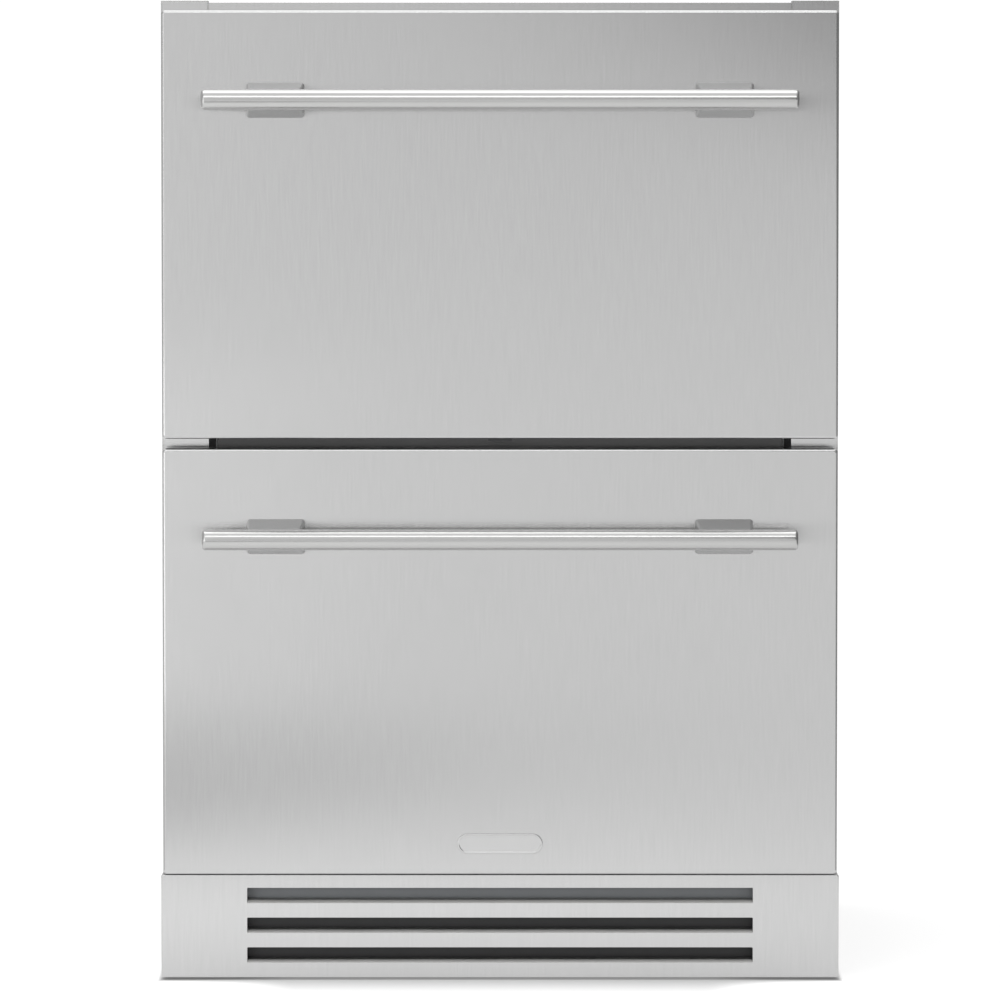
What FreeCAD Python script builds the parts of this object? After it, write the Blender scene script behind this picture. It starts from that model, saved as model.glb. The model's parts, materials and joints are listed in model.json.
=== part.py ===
"""Two-drawer under counter fridge, 24 inch class, as an assembly of separate pieces.

Row frame: millimetres, +Z up, the fronts face -Y, and the origin is on the floor at the
middle of the whole object, handles included. Every size is bound to the sheet "dims".
"""
import FreeCAD, Part

import math
import os
import re

import Sketcher
from FreeCAD import Placement, Rotation, Vector

DIMENSIONS = {
    # cabinet
    "case_w": 606,
    "case_tall": 873,
    "deep": 609,
    "skin": 1,
    "frame_w": 42,
    "frame_deep": 20,
    "frame_sheet": 1.2,
    "rail_drop": 1.8,
    "roof_drop": 2,
    "breaker_w": 6.2,
    "mullion_tall": 38,
    "mullion_deep": 42,
    "liner_sheet": 1,
    "liner_floor": 142,
    "liner_ceiling": 826,
    "back_wall": 50,
    "foam_floor": 40,
    "step_deep": 154,
    "step_top": 240,
    "back_flange": 13,
    "screw_cap": 1.8,
    "screw_head": 4.6,
    "screw_in": 7,
    "case_screw": 1.7,
    "clip_x": 230,
    "clip_y": 70,
    "clip_hole": 2.75,
    "nest_radius": 7,
    "nest_deep": 22,
    "vent_left": -150,
    "vent_right": 230,
    "vent_low": 70,
    "vent_tall": 6,
    "vent_rise": 112,
    # drawer fronts
    "front_w": 600,
    "front_tall": 379.5,
    "front_thick": 46,
    "front_low": 95,
    "front_gap": 9,
    "front_round": 3,
    "front_hem": 2.5,
    "plug_w": 21,
    "plug_set": 5,
    "plug_deep": 30,
    "upper_plug_drop": 2.2,
    "lower_plug_drop": 0.3,
    "pan_thick": 2,
    "pan_plug": 12,
    "pan_round": 5,
    "pan_lip": 3,
    "pan_room": 6,
    "gasket_thick": 8,
    "gasket_w": 15,
    "gasket_inset": 5,
    "gasket_foot": 4,
    "gasket_step": 2.5,
    "plate_long": 76,
    "plate_tall": 18,
    "plate_thick": 2,
    "plate_up": 27.5,
    "plate_round": 0.8,
    # handles
    "bar_stand": 50,
    "bar_radius": 9.2,
    "bar_long": 525,
    "bar_chamfer": 2.2,
    "upper_bar_drop": 79.5,
    "lower_bar_drop": 78,
    "bracket_apart": 398,
    "bracket_w": 51.5,
    "bracket_tall": 31,
    "bracket_nose_w": 45,
    "bracket_nose_tall": 15,
    "bracket_round": 3.5,
    "screw_radius": 2.5,
    "screw_apart": 28,
    "screw_long": 19,
    "screw_head_tall": 3.4,
    "bracket_bore": 20,
    # bins and slides
    "bin_w": 483.2,
    "bin_tall": 262,
    "bin_wall": 1,
    "bin_round": 8,
    "upper_bin_long": 419,
    "lower_bin_long": 332,
    "upper_bin_low": 508,
    "lower_bin_low": 150,
    "air_slot_in": 30,
    "air_slot_w": 6,
    "air_slot_low": 150,
    "air_slot_top": 230,
    "rail_up": 131,
    "rail_long": 400,
    "rail_thick": 12.7,
    "rail_tall": 45,
    "rail_sheet": 1.2,
    # plinth
    "kick_w": 604,
    "kick_low": 2.6,
    "kick_tall": 91.9,
    "kick_back": 2,
    "slot_w": 450.8,
    "slot_tall": 13.6,
    "slot_pitch": 26.65,
    "slot_low": 15.9,
    "slot_lip": 15,
    "lip_over": 4,
    "kick_round": 2,
    "kick_hem": 1.5,
    "pan_low": 14,
    "pan_sheet": 1.5,
    "pan_flange": 25,
    "foot_x": 262,
    "foot_front": 32,
    "foot_rear": 34,
    "nut_radius": 11,
    "nut_tall": 22,
    "stem_radius": 5,
    "stem_fit": 0.05,
    "stem_tall": 60,
    "pad_radius": 19,
    "pad_tall": 8.5,
    "collar_radius": 9,
    "collar_top": 13.5,
    # machine compartment
    "coil_half": 215,
    "coil_deep": 80,
    "coil_tall": 66,
    "tube_radius": 4,
    "fin_sheet": 0.6,
    "fin_pitch": 8.6,
    "tube_out": 6,
    "fan_radius": 68,
    "fan_x": -70,
    "fan_up": 106,
    "fan_deep": 20,
    "shroud_left": -285,
    "shroud_right": 30,
    "shroud_set": 16,
    "shroud_sheet": 1.2,
    "shroud_collar": 24,
    "motor_radius": 27,
    "motor_long": 40,
    "shell_radius": 68,
    "shell_tall": 118,
    "shell_round": 30,
    "shell_x": 115,
    "seam_out": 3,
    "shell_tray_x": 80,
    "shell_tray_y": 50,
    "bolt_x": 68,
    "bolt_y": 38,
    "bolt_hole": 6,
    "grommet_radius": 9,
    "relay_half": 24,
    "relay_in": 55,
    "relay_out": 92,
    "relay_low": 22,
    "relay_tall": 56,
    "tray_left": -235,
    "tray_right": -10,
    "tray_near": 78,
    "tray_far": 12,
    "tray_wall": 1.5,
    "tray_top": 50,
    "drain_radius": 7,
    "drain_bore": 5.6,
    "drain_low": 36,
    "drain_flange": 11,
    "drier_x": -215,
    "drier_low": 60,
    "drier_tall": 110,
    "drier_radius": 10,
    "drier_neck": 3,
    "liquid_x": -246,
    "discharge_radius": 3.2,
    "suction_radius": 3.6,
    "liquid_radius": 2.5,
    "capillary_radius": 1.2,
    "pipe_room": 0.4,
    "evap_half": 190,
    "evap_deep": 40,
    "evap_tall": 160,
    "evap_low": 470,
    "evap_fan_radius": 52,
    "evap_fan_up": 735,
    "evap_fan_deep": 14,
    "evap_fan_back": 22,
    "evap_motor_radius": 20,
    "evap_motor_long": 29,
    "cover_sheet": 1.2,
    "cover_gap": 3,
    "cover_rim": 7,
    "outlet_half": 60,
    "outlet_rise": 90,
    "intake_half": 180,
    "intake_low": 300,
    "intake_rise": 60,
    "air_slit": 6,
    # lamps, controls and power inlet
    "lamp_deep": 12,
    "lamp_tall": 5,
    "control_half": 60,
    "control_tall": 26,
    "control_deep": 45,
    "button_radius": 5,
    "button_fit": 0.1,
    "button_long": 6.5,
    "window_left": -45,
    "window_right": 8,
    "inlet_x": -240,
    "inlet_up": 87,
    "inlet_w": 50,
    "inlet_tall": 32,
    "inlet_deep": 34,
    "mouth_w": 32,
    "mouth_tall": 22,
    "mouth_deep": 22,
}

# Places worked out from the driving dimensions. Each is spelled out inside expressions.
PLACES = {
    "half_w": "(case_w / 2)",
    "roof": "(case_tall - roof_drop)",
    "face_y": "((bar_stand + bar_radius - deep - screw_cap) / 2)",
    "back_y": "(face_y + deep)",
    "frame_y": "(face_y + front_thick + gasket_thick)",
    "frame_in": "(half_w - frame_w)",
    "liner_half": "(frame_in - breaker_w)",
    "liner_front": "(frame_y + frame_deep - 2)",
    "liner_back": "(back_y - back_wall)",
    "step_y": "(liner_back - step_deep)",
    "frame_top": "(liner_ceiling + breaker_w - 1)",
    "frame_low": "(liner_floor - breaker_w + 1)",
    "opening_mid": "(front_low + front_tall + front_gap / 2)",
    "mullion_low": "(opening_mid - mullion_tall / 2)",
    "mullion_top": "(opening_mid + mullion_tall / 2)",
    "foam_low": "(liner_floor - liner_sheet - foam_floor)",
    "foam_step": "(step_top - liner_sheet - foam_floor)",
    "bin_front": "(face_y + front_thick + pan_plug)",
    "rail_front": "(frame_y + 20)",
    "pan_top": "(pan_low + pan_sheet)",
    "cover_y": "(liner_back - 60)",
    "room_y": "(step_y + liner_sheet + foam_floor)",
    "fan_y": "(room_y + 22)",
    "shell_y": "(back_y - 82)",
    "shell_low": "(pan_top + 14)",
    "control_y": "(frame_y + 24)",
    "coil_front": "(frame_y + 50)",
    "coil_low": "(pan_top + 5)",
    "liquid_z": "(coil_low + coil_tall / 6)",
    "drier_y": "(room_y + 54)",
    "evap_front": "(liner_back - evap_deep - 8)",
}

doc = FreeCAD.newDocument("under_counter_fridge")
sheet = doc.addObject("Spreadsheet::Sheet", "dims")
for row, (alias, size) in enumerate(DIMENSIONS.items(), 1):
    sheet.set(f"A{row}", alias)
    sheet.set(f"B{row}", str(size))
    sheet.setAlias(f"B{row}", alias)
doc.recompute()

NODES = []
LINE_GAP = 0.2
EVAP_COLUMNS = ("evap_front + evap_deep / 4", "evap_front + 3 * evap_deep / 4")
DRAIN_SPOT = ("-100", "liner_back - 19")
RISERS = [("-evap_half - 16", EVAP_COLUMNS[0]), ("drier_x", EVAP_COLUMNS[1])]
PIPE_WAYS = [
    (*DRAIN_SPOT, "drain_radius"),
    (*RISERS[0], "suction_radius"),
    (*RISERS[1], "capillary_radius"),
]
SCREW_HEIGHTS = ["60", "225", "420", "640", "850"]
CLIP_SPOTS = [(x, "frame_y + clip_y") for x in ("-clip_x", "clip_x")]
WORD = re.compile(r"[a-z]\w*")
AXIS_TURNS = {
    "X": Rotation(Vector(0, 1, 0), 90),
    "Y": Rotation(Vector(1, 0, 0), -90),
    "Z": Rotation(),
}


# ---------------------------------------------------------------- helpers


def expr(text):
    """The text as an expression: places spelled out, aliases read from the sheet."""
    text = str(text)
    while any(word in PLACES for word in WORD.findall(text)):
        text = WORD.sub(lambda m: PLACES.get(m[0], m[0]), text)
    return WORD.sub(lambda m: "dims." + m[0] if m[0] in DIMENSIONS else m[0], text)


def value(text):
    """The number that the text comes to."""
    return float(sheet.evalExpression(expr(text)))


def bind(thing, **cells):
    """Binds properties to expressions. A double underscore stands for a dot."""
    for name, text in cells.items():
        thing.setExpression(name.replace("__", "."), expr(text))
    return thing


def move(thing, x="0", y="0", z="0", turn=Rotation()):
    """Gives the piece its turn and binds its place."""
    thing.Placement = Placement(Vector(), turn)
    return bind(thing, Placement__Base__x=x, Placement__Base__y=y, Placement__Base__z=z)


def box(name, x, y, z):
    """A block between two coordinates along each axis."""
    made = doc.addObject("Part::Box", name)
    bind(
        made,
        Length=f"({x[1]}) - ({x[0]})",
        Width=f"({y[1]}) - ({y[0]})",
        Height=f"({z[1]}) - ({z[0]})",
    )
    return move(made, x[0], y[0], z[0])


def rod(name, radius, length, at, axis="Z"):
    """A cylinder from the point at, running along +axis."""
    made = doc.addObject("Part::Cylinder", name)
    bind(made, Radius=radius, Height=length)
    return move(made, *at, turn=AXIS_TURNS[axis])


def fuse(name, parts):
    made = doc.addObject("Part::MultiFuse", name)
    made.Shapes = parts
    return made


def cut(name, base, tools):
    """The base less every tool."""
    made = doc.addObject("Part::Cut", name)
    made.Base = base
    made.Tool = tools[0] if len(tools) == 1 else fuse(name + "_tools", tools)
    return made


def together(name, parts):
    """Separate solids that share one node."""
    made = doc.addObject("Part::Compound", name)
    made.Links = parts
    return made


def mirrored(name, source):
    """The same piece on the other side of the YZ plane."""
    made = doc.addObject("Part::Mirroring", name)
    made.Source = source
    made.Normal = Vector(1, 0, 0)
    return made


def node(label, thing):
    """Makes the thing a sub-part of the assembly under that name."""
    thing.Label = label
    NODES.append(thing)
    return thing


def new_body(name):
    return doc.addObject("PartDesign::Body", name)


def new_sketch(body, plane, offset):
    """An empty sketch on one of the body's own planes, moved along its normal."""
    sketch = body.newObject("Sketcher::SketchObject", body.Name + "_sketch")
    support = [f for f in body.Origin.OriginFeatures if f.Role == plane + "_Plane"]
    sketch.AttachmentSupport = [(support[0], "")]
    sketch.MapMode = "FlatFace"
    return bind(sketch, AttachmentOffset__Base__z=offset)


def outlines(body, plane, offset, loops):
    """Closed straight-sided loops whose corners are pairs of expressions."""
    sketch = new_sketch(body, plane, offset)
    first = 0
    for corners in loops:
        points = [Vector(value(u), value(v), 0) for u, v in corners]
        count = len(points)
        lines = [
            Part.LineSegment(points[i], points[(i + 1) % count]) for i in range(count)
        ]
        sketch.addGeometry(lines, False)
        sketch.addConstraint(
            [
                Sketcher.Constraint(
                    "Coincident", first + i, 2, first + (i + 1) % count, 1
                )
                for i in range(count)
            ]
        )
        for i, (u, v) in enumerate(corners, first):
            point = points[i - first]
            for kind, text, number in (("X", u, point.x), ("Y", v, point.y)):
                index = sketch.addConstraint(
                    Sketcher.Constraint("Distance" + kind, -1, 1, i, 1, number)
                )
                sketch.renameConstraint(index, f"{kind.lower()}{i}")
                sketch.setExpression(f"Constraints.{kind.lower()}{i}", expr(text))
        first += count
    return sketch


def outline(body, plane, offset, corners):
    return outlines(body, plane, offset, [corners])


def four(u, v, inset="0"):
    """The corners of a rectangle, drawn in from each side by the inset."""
    left, right = f"{u[0]} + {inset}", f"{u[1]} - {inset}"
    low, top = f"{v[0]} + {inset}", f"{v[1]} - {inset}"
    return [(left, low), (right, low), (right, top), (left, top)]


def rectangle(body, plane, offset, u, v):
    return outline(body, plane, offset, four(u, v))


def circles(body, plane, offset, centres, radius):
    """Equal circles, each with its centre and radius bound."""
    sketch = new_sketch(body, plane, offset)
    for i, (u, v) in enumerate(centres):
        middle = Vector(value(u), value(v), 0)
        sketch.addGeometry(Part.Circle(middle, Vector(0, 0, 1), value(radius)), False)
        sizes = (
            ("x", Sketcher.Constraint("DistanceX", -1, 1, i, 3, middle.x), u),
            ("y", Sketcher.Constraint("DistanceY", -1, 1, i, 3, middle.y), v),
            ("r", Sketcher.Constraint("Radius", i, value(radius)), radius),
        )
        for letter, rule, text in sizes:
            index = sketch.addConstraint(rule)
            sketch.renameConstraint(index, f"{letter}{i}")
            sketch.setExpression(f"Constraints.{letter}{i}", expr(text))
    return sketch


def pad(body, sketch, length, back=False):
    made = body.newObject("PartDesign::Pad", body.Name + "_pad")
    made.Profile = sketch
    made.Reversed = back
    bind(made, Length=length)
    doc.recompute()
    return made


def pocket(body, sketch, length, forward=False):
    """Cuts against the sketch's normal, or along it with forward."""
    before = body.Shape.Volume
    made = body.newObject("PartDesign::Pocket", body.Name + "_pocket")
    made.Profile = sketch
    made.Reversed = forward
    bind(made, Length=length)
    doc.recompute()
    if made.Shape.Volume > before - 1e-6:
        raise ValueError(f"{body.Name}: the pocket cuts nothing")
    return made


def dress(body, kind, size, wanted):
    """A fillet or chamfer on the edges that wanted() picks from the body so far."""
    base = body.Tip
    edges = [
        f"Edge{i}" for i, edge in enumerate(base.Shape.Edges, 1) if wanted(edge)
    ]
    made = body.newObject("PartDesign::" + kind, f"{body.Name}_{kind.lower()}")
    made.Base = (base, edges)
    bind(made, **{"Radius" if kind == "Fillet" else "Size": size})
    doc.recompute()
    return made


def repeat(body, feature, axis, length, count):
    """A row of the feature along one of the body's own axes."""
    made = body.newObject("PartDesign::LinearPattern", body.Name + "_row")
    made.Originals = [feature]
    line = [f for f in body.Origin.OriginFeatures if f.Role == axis + "_Axis"][0]
    made.Direction = (line, [""])
    made.Occurrences = count
    bind(made, Length=length)
    body.Tip = made
    doc.recompute()
    return made


def around(body, feature, axis, count):
    """The feature repeated in a circle about one of the body's own axes."""
    made = body.newObject("PartDesign::PolarPattern", body.Name + "_ring")
    made.Originals = [feature]
    line = [f for f in body.Origin.OriginFeatures if f.Role == axis + "_Axis"][0]
    made.Axis = (line, [""])
    made.Angle = 360
    made.Occurrences = count
    body.Tip = made
    doc.recompute()
    return made


def turn(body, profile):
    """A solid of revolution about the body's Z axis from a profile of (radius, height)."""
    sketch = outline(body, "XZ", "0", profile)
    made = body.newObject("PartDesign::Revolution", body.Name + "_turned")
    made.Profile = sketch
    made.ReferenceAxis = (sketch, ["V_Axis"])
    made.Angle = 360
    doc.recompute()
    return made


def edge_along(edge, axis):
    """True for a straight edge along that axis."""
    if edge.Curve.TypeId != "Part::GeomLine":
        return False
    return abs(edge.Curve.Direction[axis]) > 0.999


def edge_middle(edge):
    return edge.BoundBox.Center


def pipe(name, points, radius, bend):
    """A round tube along straight runs joined by tangent arcs."""
    path = [Vector(*p) for p in points]
    edges = []
    start = path[0]
    for before, corner, after in zip(path, path[1:], path[2:]):
        run_in = (before - corner).normalize()
        run_out = (after - corner).normalize()
        half = run_in.getAngle(run_out) / 2
        trim = bend / math.tan(half)
        arc_in = corner + run_in * trim
        arc_out = corner + run_out * trim
        inward = (run_in + run_out).normalize()
        arc_mid = corner + inward * (bend / math.sin(half) - bend)
        edges.append(Part.LineSegment(start, arc_in).toShape())
        edges.append(Part.Arc(arc_in, arc_mid, arc_out).toShape())
        start = arc_out
    edges.append(Part.LineSegment(start, path[-1]).toShape())
    wire = Part.Wire(edges)
    ring = Part.Wire([Part.Circle(path[0], path[1] - path[0], radius).toShape()])
    made = doc.addObject("Part::Feature", name)
    made.Shape = wire.makePipeShell([ring], True, False)
    return made


# ---------------------------------------------------------------- cabinet


def side_panel():
    """Outer side sheet with its rear flange turned in."""
    body = new_body("side_left")
    corners = [
        ("-half_w", "frame_y"),
        ("skin - half_w", "frame_y"),
        ("skin - half_w", "back_y - 2 * skin"),
        ("back_flange - half_w", "back_y - 2 * skin"),
        ("back_flange - half_w", "back_y - skin"),
        ("-half_w", "back_y - skin"),
    ]
    pad(body, outline(body, "XY", "pan_low", corners), "roof - skin - pan_low")
    tools = [
        rod(f"side_hole_{i}", "case_screw + 0.1", "6", ("screw_in - half_w", "back_y - 5", z), "Y")
        for i, z in enumerate(SCREW_HEIGHTS)
    ]
    return cut("side_left_cut", body, tools)


def outer_case():
    left = node("side_panel_left", side_panel())
    node("side_panel_right", mirrored("side_right", left))

    top = new_body("top")
    pad(
        top,
        rectangle(
            top,
            "XY",
            "roof - skin",
            ("-half_w", "half_w"),
            ("frame_y + frame_deep", "back_y - skin"),
        ),
        "skin",
    )
    pad(
        top,
        rectangle(
            top,
            "XY",
            "roof - skin - back_flange",
            ("back_flange + 1 - half_w", "half_w - back_flange - 1"),
            ("back_y - 2 * skin", "back_y - skin"),
        ),
        "back_flange",
    )
    holes = circles(top, "XY", "roof", CLIP_SPOTS, "clip_hole")
    pocket(top, holes, "skin + 1")
    node("top_panel", top)

    back = new_body("back")
    pad(
        back,
        rectangle(
            back,
            "XZ",
            "skin - back_y",
            ("-half_w", "half_w"),
            ("pan_low", "roof"),
        ),
        "skin",
        back=True,
    )
    slot = pocket(
        back,
        rectangle(
            back,
            "XZ",
            "-back_y",
            ("vent_left", "vent_right"),
            ("vent_low", "vent_low + vent_tall"),
        ),
        "3",
        forward=True,
    )
    repeat(back, slot, "Z", "vent_rise", 9)
    pocket(
        back,
        rectangle(
            back,
            "XZ",
            "-back_y",
            ("inlet_x - inlet_w / 2 - 1", "inlet_x + inlet_w / 2 + 1"),
            ("inlet_up - inlet_tall / 2 - 1", "inlet_up + inlet_tall / 2 + 1"),
        ),
        "3",
        forward=True,
    )
    screw_holes = circles(
        back,
        "XZ",
        "-back_y",
        [(f"{s} * (half_w - screw_in)", z) for s in (-1, 1) for z in SCREW_HEIGHTS],
        "case_screw + 0.4",
    )
    pocket(back, screw_holes, "3", forward=True)
    node("back_panel", back)

    screws = []
    for side in (-1, 1):
        for i, z in enumerate(SCREW_HEIGHTS):
            at = (f"{side} * (half_w - screw_in)", "back_y - 5", z)
            head = (at[0], "back_y", z)
            name = f"case_screw_{'lr'[side > 0]}{i}"
            shank = rod(name + "_shank", "case_screw", "5", at, "Y")
            cap = rod(name + "_head", "4", "screw_cap", head, "Y")
            screws.append(fuse(name, [shank, cap]))
    node("case_screws", together("screws", screws))


def insulation():
    """Foam between liner and case, stepped up over the compressor."""
    whole = box(
        "foam_whole",
        ("skin - half_w", "half_w - skin"),
        ("frame_y + frame_deep", "back_y - 2 * skin"),
        ("foam_low", "roof - skin - back_flange"),
    )
    lid = box(
        "foam_lid",
        ("skin - half_w", "half_w - skin"),
        ("frame_y + frame_deep", "back_y - 3 * skin"),
        ("roof - skin - back_flange", "roof - skin"),
    )
    room = box(
        "foam_room",
        ("-liner_half - liner_sheet", "liner_half + liner_sheet"),
        ("frame_y", "liner_back + liner_sheet"),
        ("step_top - liner_sheet", "liner_ceiling + liner_sheet"),
    )
    low_room = box(
        "foam_low_room",
        ("-liner_half - liner_sheet", "liner_half + liner_sheet"),
        ("frame_y", "step_y + liner_sheet"),
        ("liner_floor - liner_sheet", "step_top"),
    )
    machine = box(
        "foam_machine_room",
        ("-half_w", "half_w"),
        ("room_y", "back_y"),
        ("foam_low - 1", "foam_step"),
    )
    edges = [
        box(
            f"foam_flange_{i}",
            x,
            ("back_y - 2 * skin - 0.2", "back_y"),
            ("foam_step", "roof"),
        )
        for i, x in enumerate(
            [
                ("-half_w", "back_flange - half_w + 0.2"),
                ("half_w - back_flange - 0.2", "half_w"),
            ]
        )
    ]
    nests = [
        rod(f"clip_nest_{i}", "nest_radius", "nest_deep", (x, y, "roof - nest_deep"))
        for i, (x, y) in enumerate(CLIP_SPOTS)
    ]
    screw_nests = [
        rod(f"screw_nest_{'lr'[s > 0]}{i}", "case_screw + 0.3", "8",
            (f"{s} * (half_w - screw_in)", "back_y - 8", z), "Y")
        for s in (-1, 1)
        for i, z in enumerate(SCREW_HEIGHTS[1:])
    ]
    pipe_ways = [
        rod(f"pipe_way_{i}", f"{radius} + pipe_room", "60", (x, y, "foam_step - 10"))
        for i, (x, y, radius) in enumerate(PIPE_WAYS)
    ]
    foam = cut(
        "foam",
        fuse("foam_block", [whole, lid]),
        [room, low_room, machine, *edges, *nests, *screw_nests, *pipe_ways],
    )
    node("insulation_foam", foam)


def liner():
    """One-piece inner tank, open at the front, stepped up at the lower back."""
    body = new_body("liner")
    grown = [
        ("liner_front", "liner_floor - liner_sheet"),
        ("step_y + liner_sheet", "liner_floor - liner_sheet"),
        ("step_y + liner_sheet", "step_top - liner_sheet"),
        ("liner_back + liner_sheet", "step_top - liner_sheet"),
        ("liner_back + liner_sheet", "liner_ceiling + liner_sheet"),
        ("liner_front", "liner_ceiling + liner_sheet"),
    ]
    room = [
        ("liner_front - 1", "liner_floor"),
        ("step_y", "liner_floor"),
        ("step_y", "step_top"),
        ("liner_back", "step_top"),
        ("liner_back", "liner_ceiling"),
        ("liner_front - 1", "liner_ceiling"),
    ]
    solid = outline(body, "YZ", "-liner_half - liner_sheet", grown)
    pad(body, solid, "2 * (liner_half + liner_sheet)")
    pocket(body, outline(body, "YZ", "-liner_half", room), "2 * liner_half", True)
    for x, y, radius in PIPE_WAYS:
        way = circles(body, "XY", "step_top", [(x, y)], f"{radius} + pipe_room")
        pocket(body, way, "liner_sheet + 0.5")
    node("inner_liner", body)


def face_frame():
    """Stainless posts and rails around the opening, each a folded channel."""
    post = new_body("post")
    corners = [
        ("skin - half_w", "frame_y"),
        ("-frame_in", "frame_y"),
        ("-frame_in", "frame_y + frame_deep - 2"),
        ("-frame_in - frame_sheet", "frame_y + frame_deep - 2"),
        ("-frame_in - frame_sheet", "frame_y + frame_sheet"),
        ("skin - half_w + frame_sheet", "frame_y + frame_sheet"),
        ("skin - half_w + frame_sheet", "frame_y + frame_deep"),
        ("skin - half_w", "frame_y + frame_deep"),
    ]
    pad(post, outline(post, "XY", "pan_low", corners), "roof - skin - pan_low")
    cap = rectangle(
        post,
        "XY",
        "roof - skin",
        ("-half_w", "-frame_in"),
        ("frame_y", "frame_y + frame_deep"),
    )
    pad(post, cap, "skin + roof_drop")
    rails = []
    for name, low, high in (
        ("top_rail", "frame_top", "case_tall - rail_drop"),
        ("low_rail", "front_low + 1", "frame_low"),
    ):
        rail = new_body(name)
        corners = [
            ("frame_y + 0.4", low),
            ("frame_y + frame_deep", low),
            ("frame_y + frame_deep", f"{low} + frame_sheet"),
            ("frame_y + 0.4 + frame_sheet", f"{low} + frame_sheet"),
            ("frame_y + 0.4 + frame_sheet", f"{high} - frame_sheet"),
            ("frame_y + frame_deep", f"{high} - frame_sheet"),
            ("frame_y + frame_deep", high),
            ("frame_y + 0.4", high),
        ]
        pad(rail, outline(rail, "YZ", "0.3 - frame_in", corners), "2 * frame_in - 0.6")
        rails.append(rail)
    node("face_frame", together("frame", [post, mirrored("post_right", post), *rails]))


def opening_trim():
    """Black thermal-break strips round the opening, and the bar between the drawers."""
    front, back = "frame_y + 0.6", "liner_front - 0.2"
    strips = [
        box(
            f"strip_{side}",
            (f"{lo}", f"{hi}"),
            (front, back),
            ("frame_low + 0.2", "frame_top - 0.2"),
        )
        for side, lo, hi in (
            ("left", "0.2 - frame_in", "-liner_half"),
            ("right", "liner_half", "frame_in - 0.2"),
        )
    ]
    strips += [
        box(f"strip_{name}", ("-liner_half", "liner_half"), (front, back), (lo, hi))
        for name, lo, hi in (
            ("top", "liner_ceiling", "frame_top - 0.2"),
            ("low", "frame_low + 0.2", "liner_floor"),
        )
    ]
    node("breaker_strips", together("strips", strips))

    bar = new_body("mullion")
    pad(
        bar,
        rectangle(
            bar,
            "XZ",
            "-frame_y - mullion_deep",
            ("0.3 - liner_half", "liner_half - 0.3"),
            ("mullion_low", "mullion_top"),
        ),
        "mullion_deep",
    )
    dress(
        bar,
        "Fillet",
        "3",
        lambda e: edge_along(e, 0) and edge_middle(e).y < value("frame_y") + 1,
    )
    node("mullion_bar", bar)


# ---------------------------------------------------------------- drawers


def drawer_front(name, low):
    """Folded stainless front, its foam and the moulded pan that closes its back."""
    top = f"({low} + front_tall)"
    bar_z = f"({top} - {name}_bar_drop)"
    spots = [
        (f"{side} * bracket_apart / 2 + {shift} * screw_apart / 2", bar_z)
        for side in (-1, 1)
        for shift in (-1, 1)
    ]

    skin = new_body(name + "_skin")
    pad(
        skin,
        rectangle(
            skin,
            "XZ",
            "-face_y - front_thick + pan_thick",
            ("-front_w / 2", "front_w / 2"),
            (low, top),
        ),
        "front_thick - pan_thick",
    )
    dress(skin, "Fillet", "front_round", lambda e: edge_along(e, 1))
    dress(
        skin,
        "Fillet",
        "front_hem",
        lambda e: edge_middle(e).y < value("face_y") + 0.01 and e.Length > 1,
    )
    pocket(
        skin,
        rectangle(
            skin,
            "XZ",
            "-face_y - front_thick + pan_thick",
            ("skin - front_w / 2", "front_w / 2 - skin"),
            (f"{low} + skin", f"{top} - skin"),
        ),
        "front_thick - pan_thick - skin",
        forward=True,
    )
    pocket(skin, circles(skin, "XZ", "-face_y", spots, "screw_radius + 0.1"), "3")
    node(name + "_front_skin", skin)

    foam = box(
        name + "_foam_block",
        ("skin + pan_thick - front_w / 2", "front_w / 2 - skin - pan_thick"),
        ("face_y + skin", "face_y + front_thick - pan_thick"),
        (f"{low} + skin + pan_thick", f"{top} - skin - pan_thick"),
    )
    nests = [
        rod(f"{name}_nest_{i}", "nest_radius", "8", (x, "face_y + skin", z), "Y")
        for i, (x, z) in enumerate(spots)
    ]
    node(name + "_front_foam", cut(name + "_foam", foam, nests))

    screws = []
    for i, (x, z) in enumerate(spots):
        seat = (x, "face_y + skin", z)
        tip = (x, "face_y + skin + 1 - screw_long", z)
        shank = rod(f"{name}_shank_{i}", "screw_radius", "screw_long", tip, "Y")
        head = rod(f"{name}_head_{i}", "screw_head", "screw_head_tall", seat, "Y")
        screws.append(fuse(f"{name}_screw_{i}", [shank, head]))
    node(name + "_handle_screws", together(name + "_screws", screws))

    pan = new_body(name + "_pan")
    pad(
        pan,
        rectangle(
            pan,
            "XZ",
            "-face_y - front_thick",
            ("-front_w / 2", "front_w / 2"),
            (low, top),
        ),
        "pan_thick",
    )
    dress(pan, "Fillet", "front_round", lambda e: edge_along(e, 1))
    plug_low, plug_top = PLUGS[name]
    pad(
        pan,
        rectangle(
            pan,
            "XZ",
            "-face_y - front_thick",
            ("pan_room - liner_half", "liner_half - pan_room"),
            (plug_low, plug_top),
        ),
        "pan_plug",
        back=True,
    )
    dress(
        pan,
        "Fillet",
        "pan_round",
        lambda e: edge_along(e, 1)
        and edge_middle(e).y > value("face_y + front_thick") + 1
        and e.Length > value("pan_plug") - 1,
    )
    dress(
        pan,
        "Fillet",
        "pan_lip",
        lambda e: e.BoundBox.YMin > value("face_y + front_thick + pan_plug") - 0.01,
    )
    node(name + "_inner_pan", pan)

    seal = new_body(name + "_seal")
    side = ("-front_w / 2", "front_w / 2")
    for shift, thick in (("0", "gasket_foot"), ("gasket_step", "gasket_thick - 0.3")):
        ring = [
            four(side, (low, top), f"(gasket_inset + {shift})"),
            four(side, (low, top), f"(gasket_inset + gasket_w - {shift})"),
        ]
        sketch = outlines(seal, "XZ", "-face_y - front_thick", ring)
        pad(seal, sketch, thick, back=True)
    node(name + "_gasket", seal)


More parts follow.
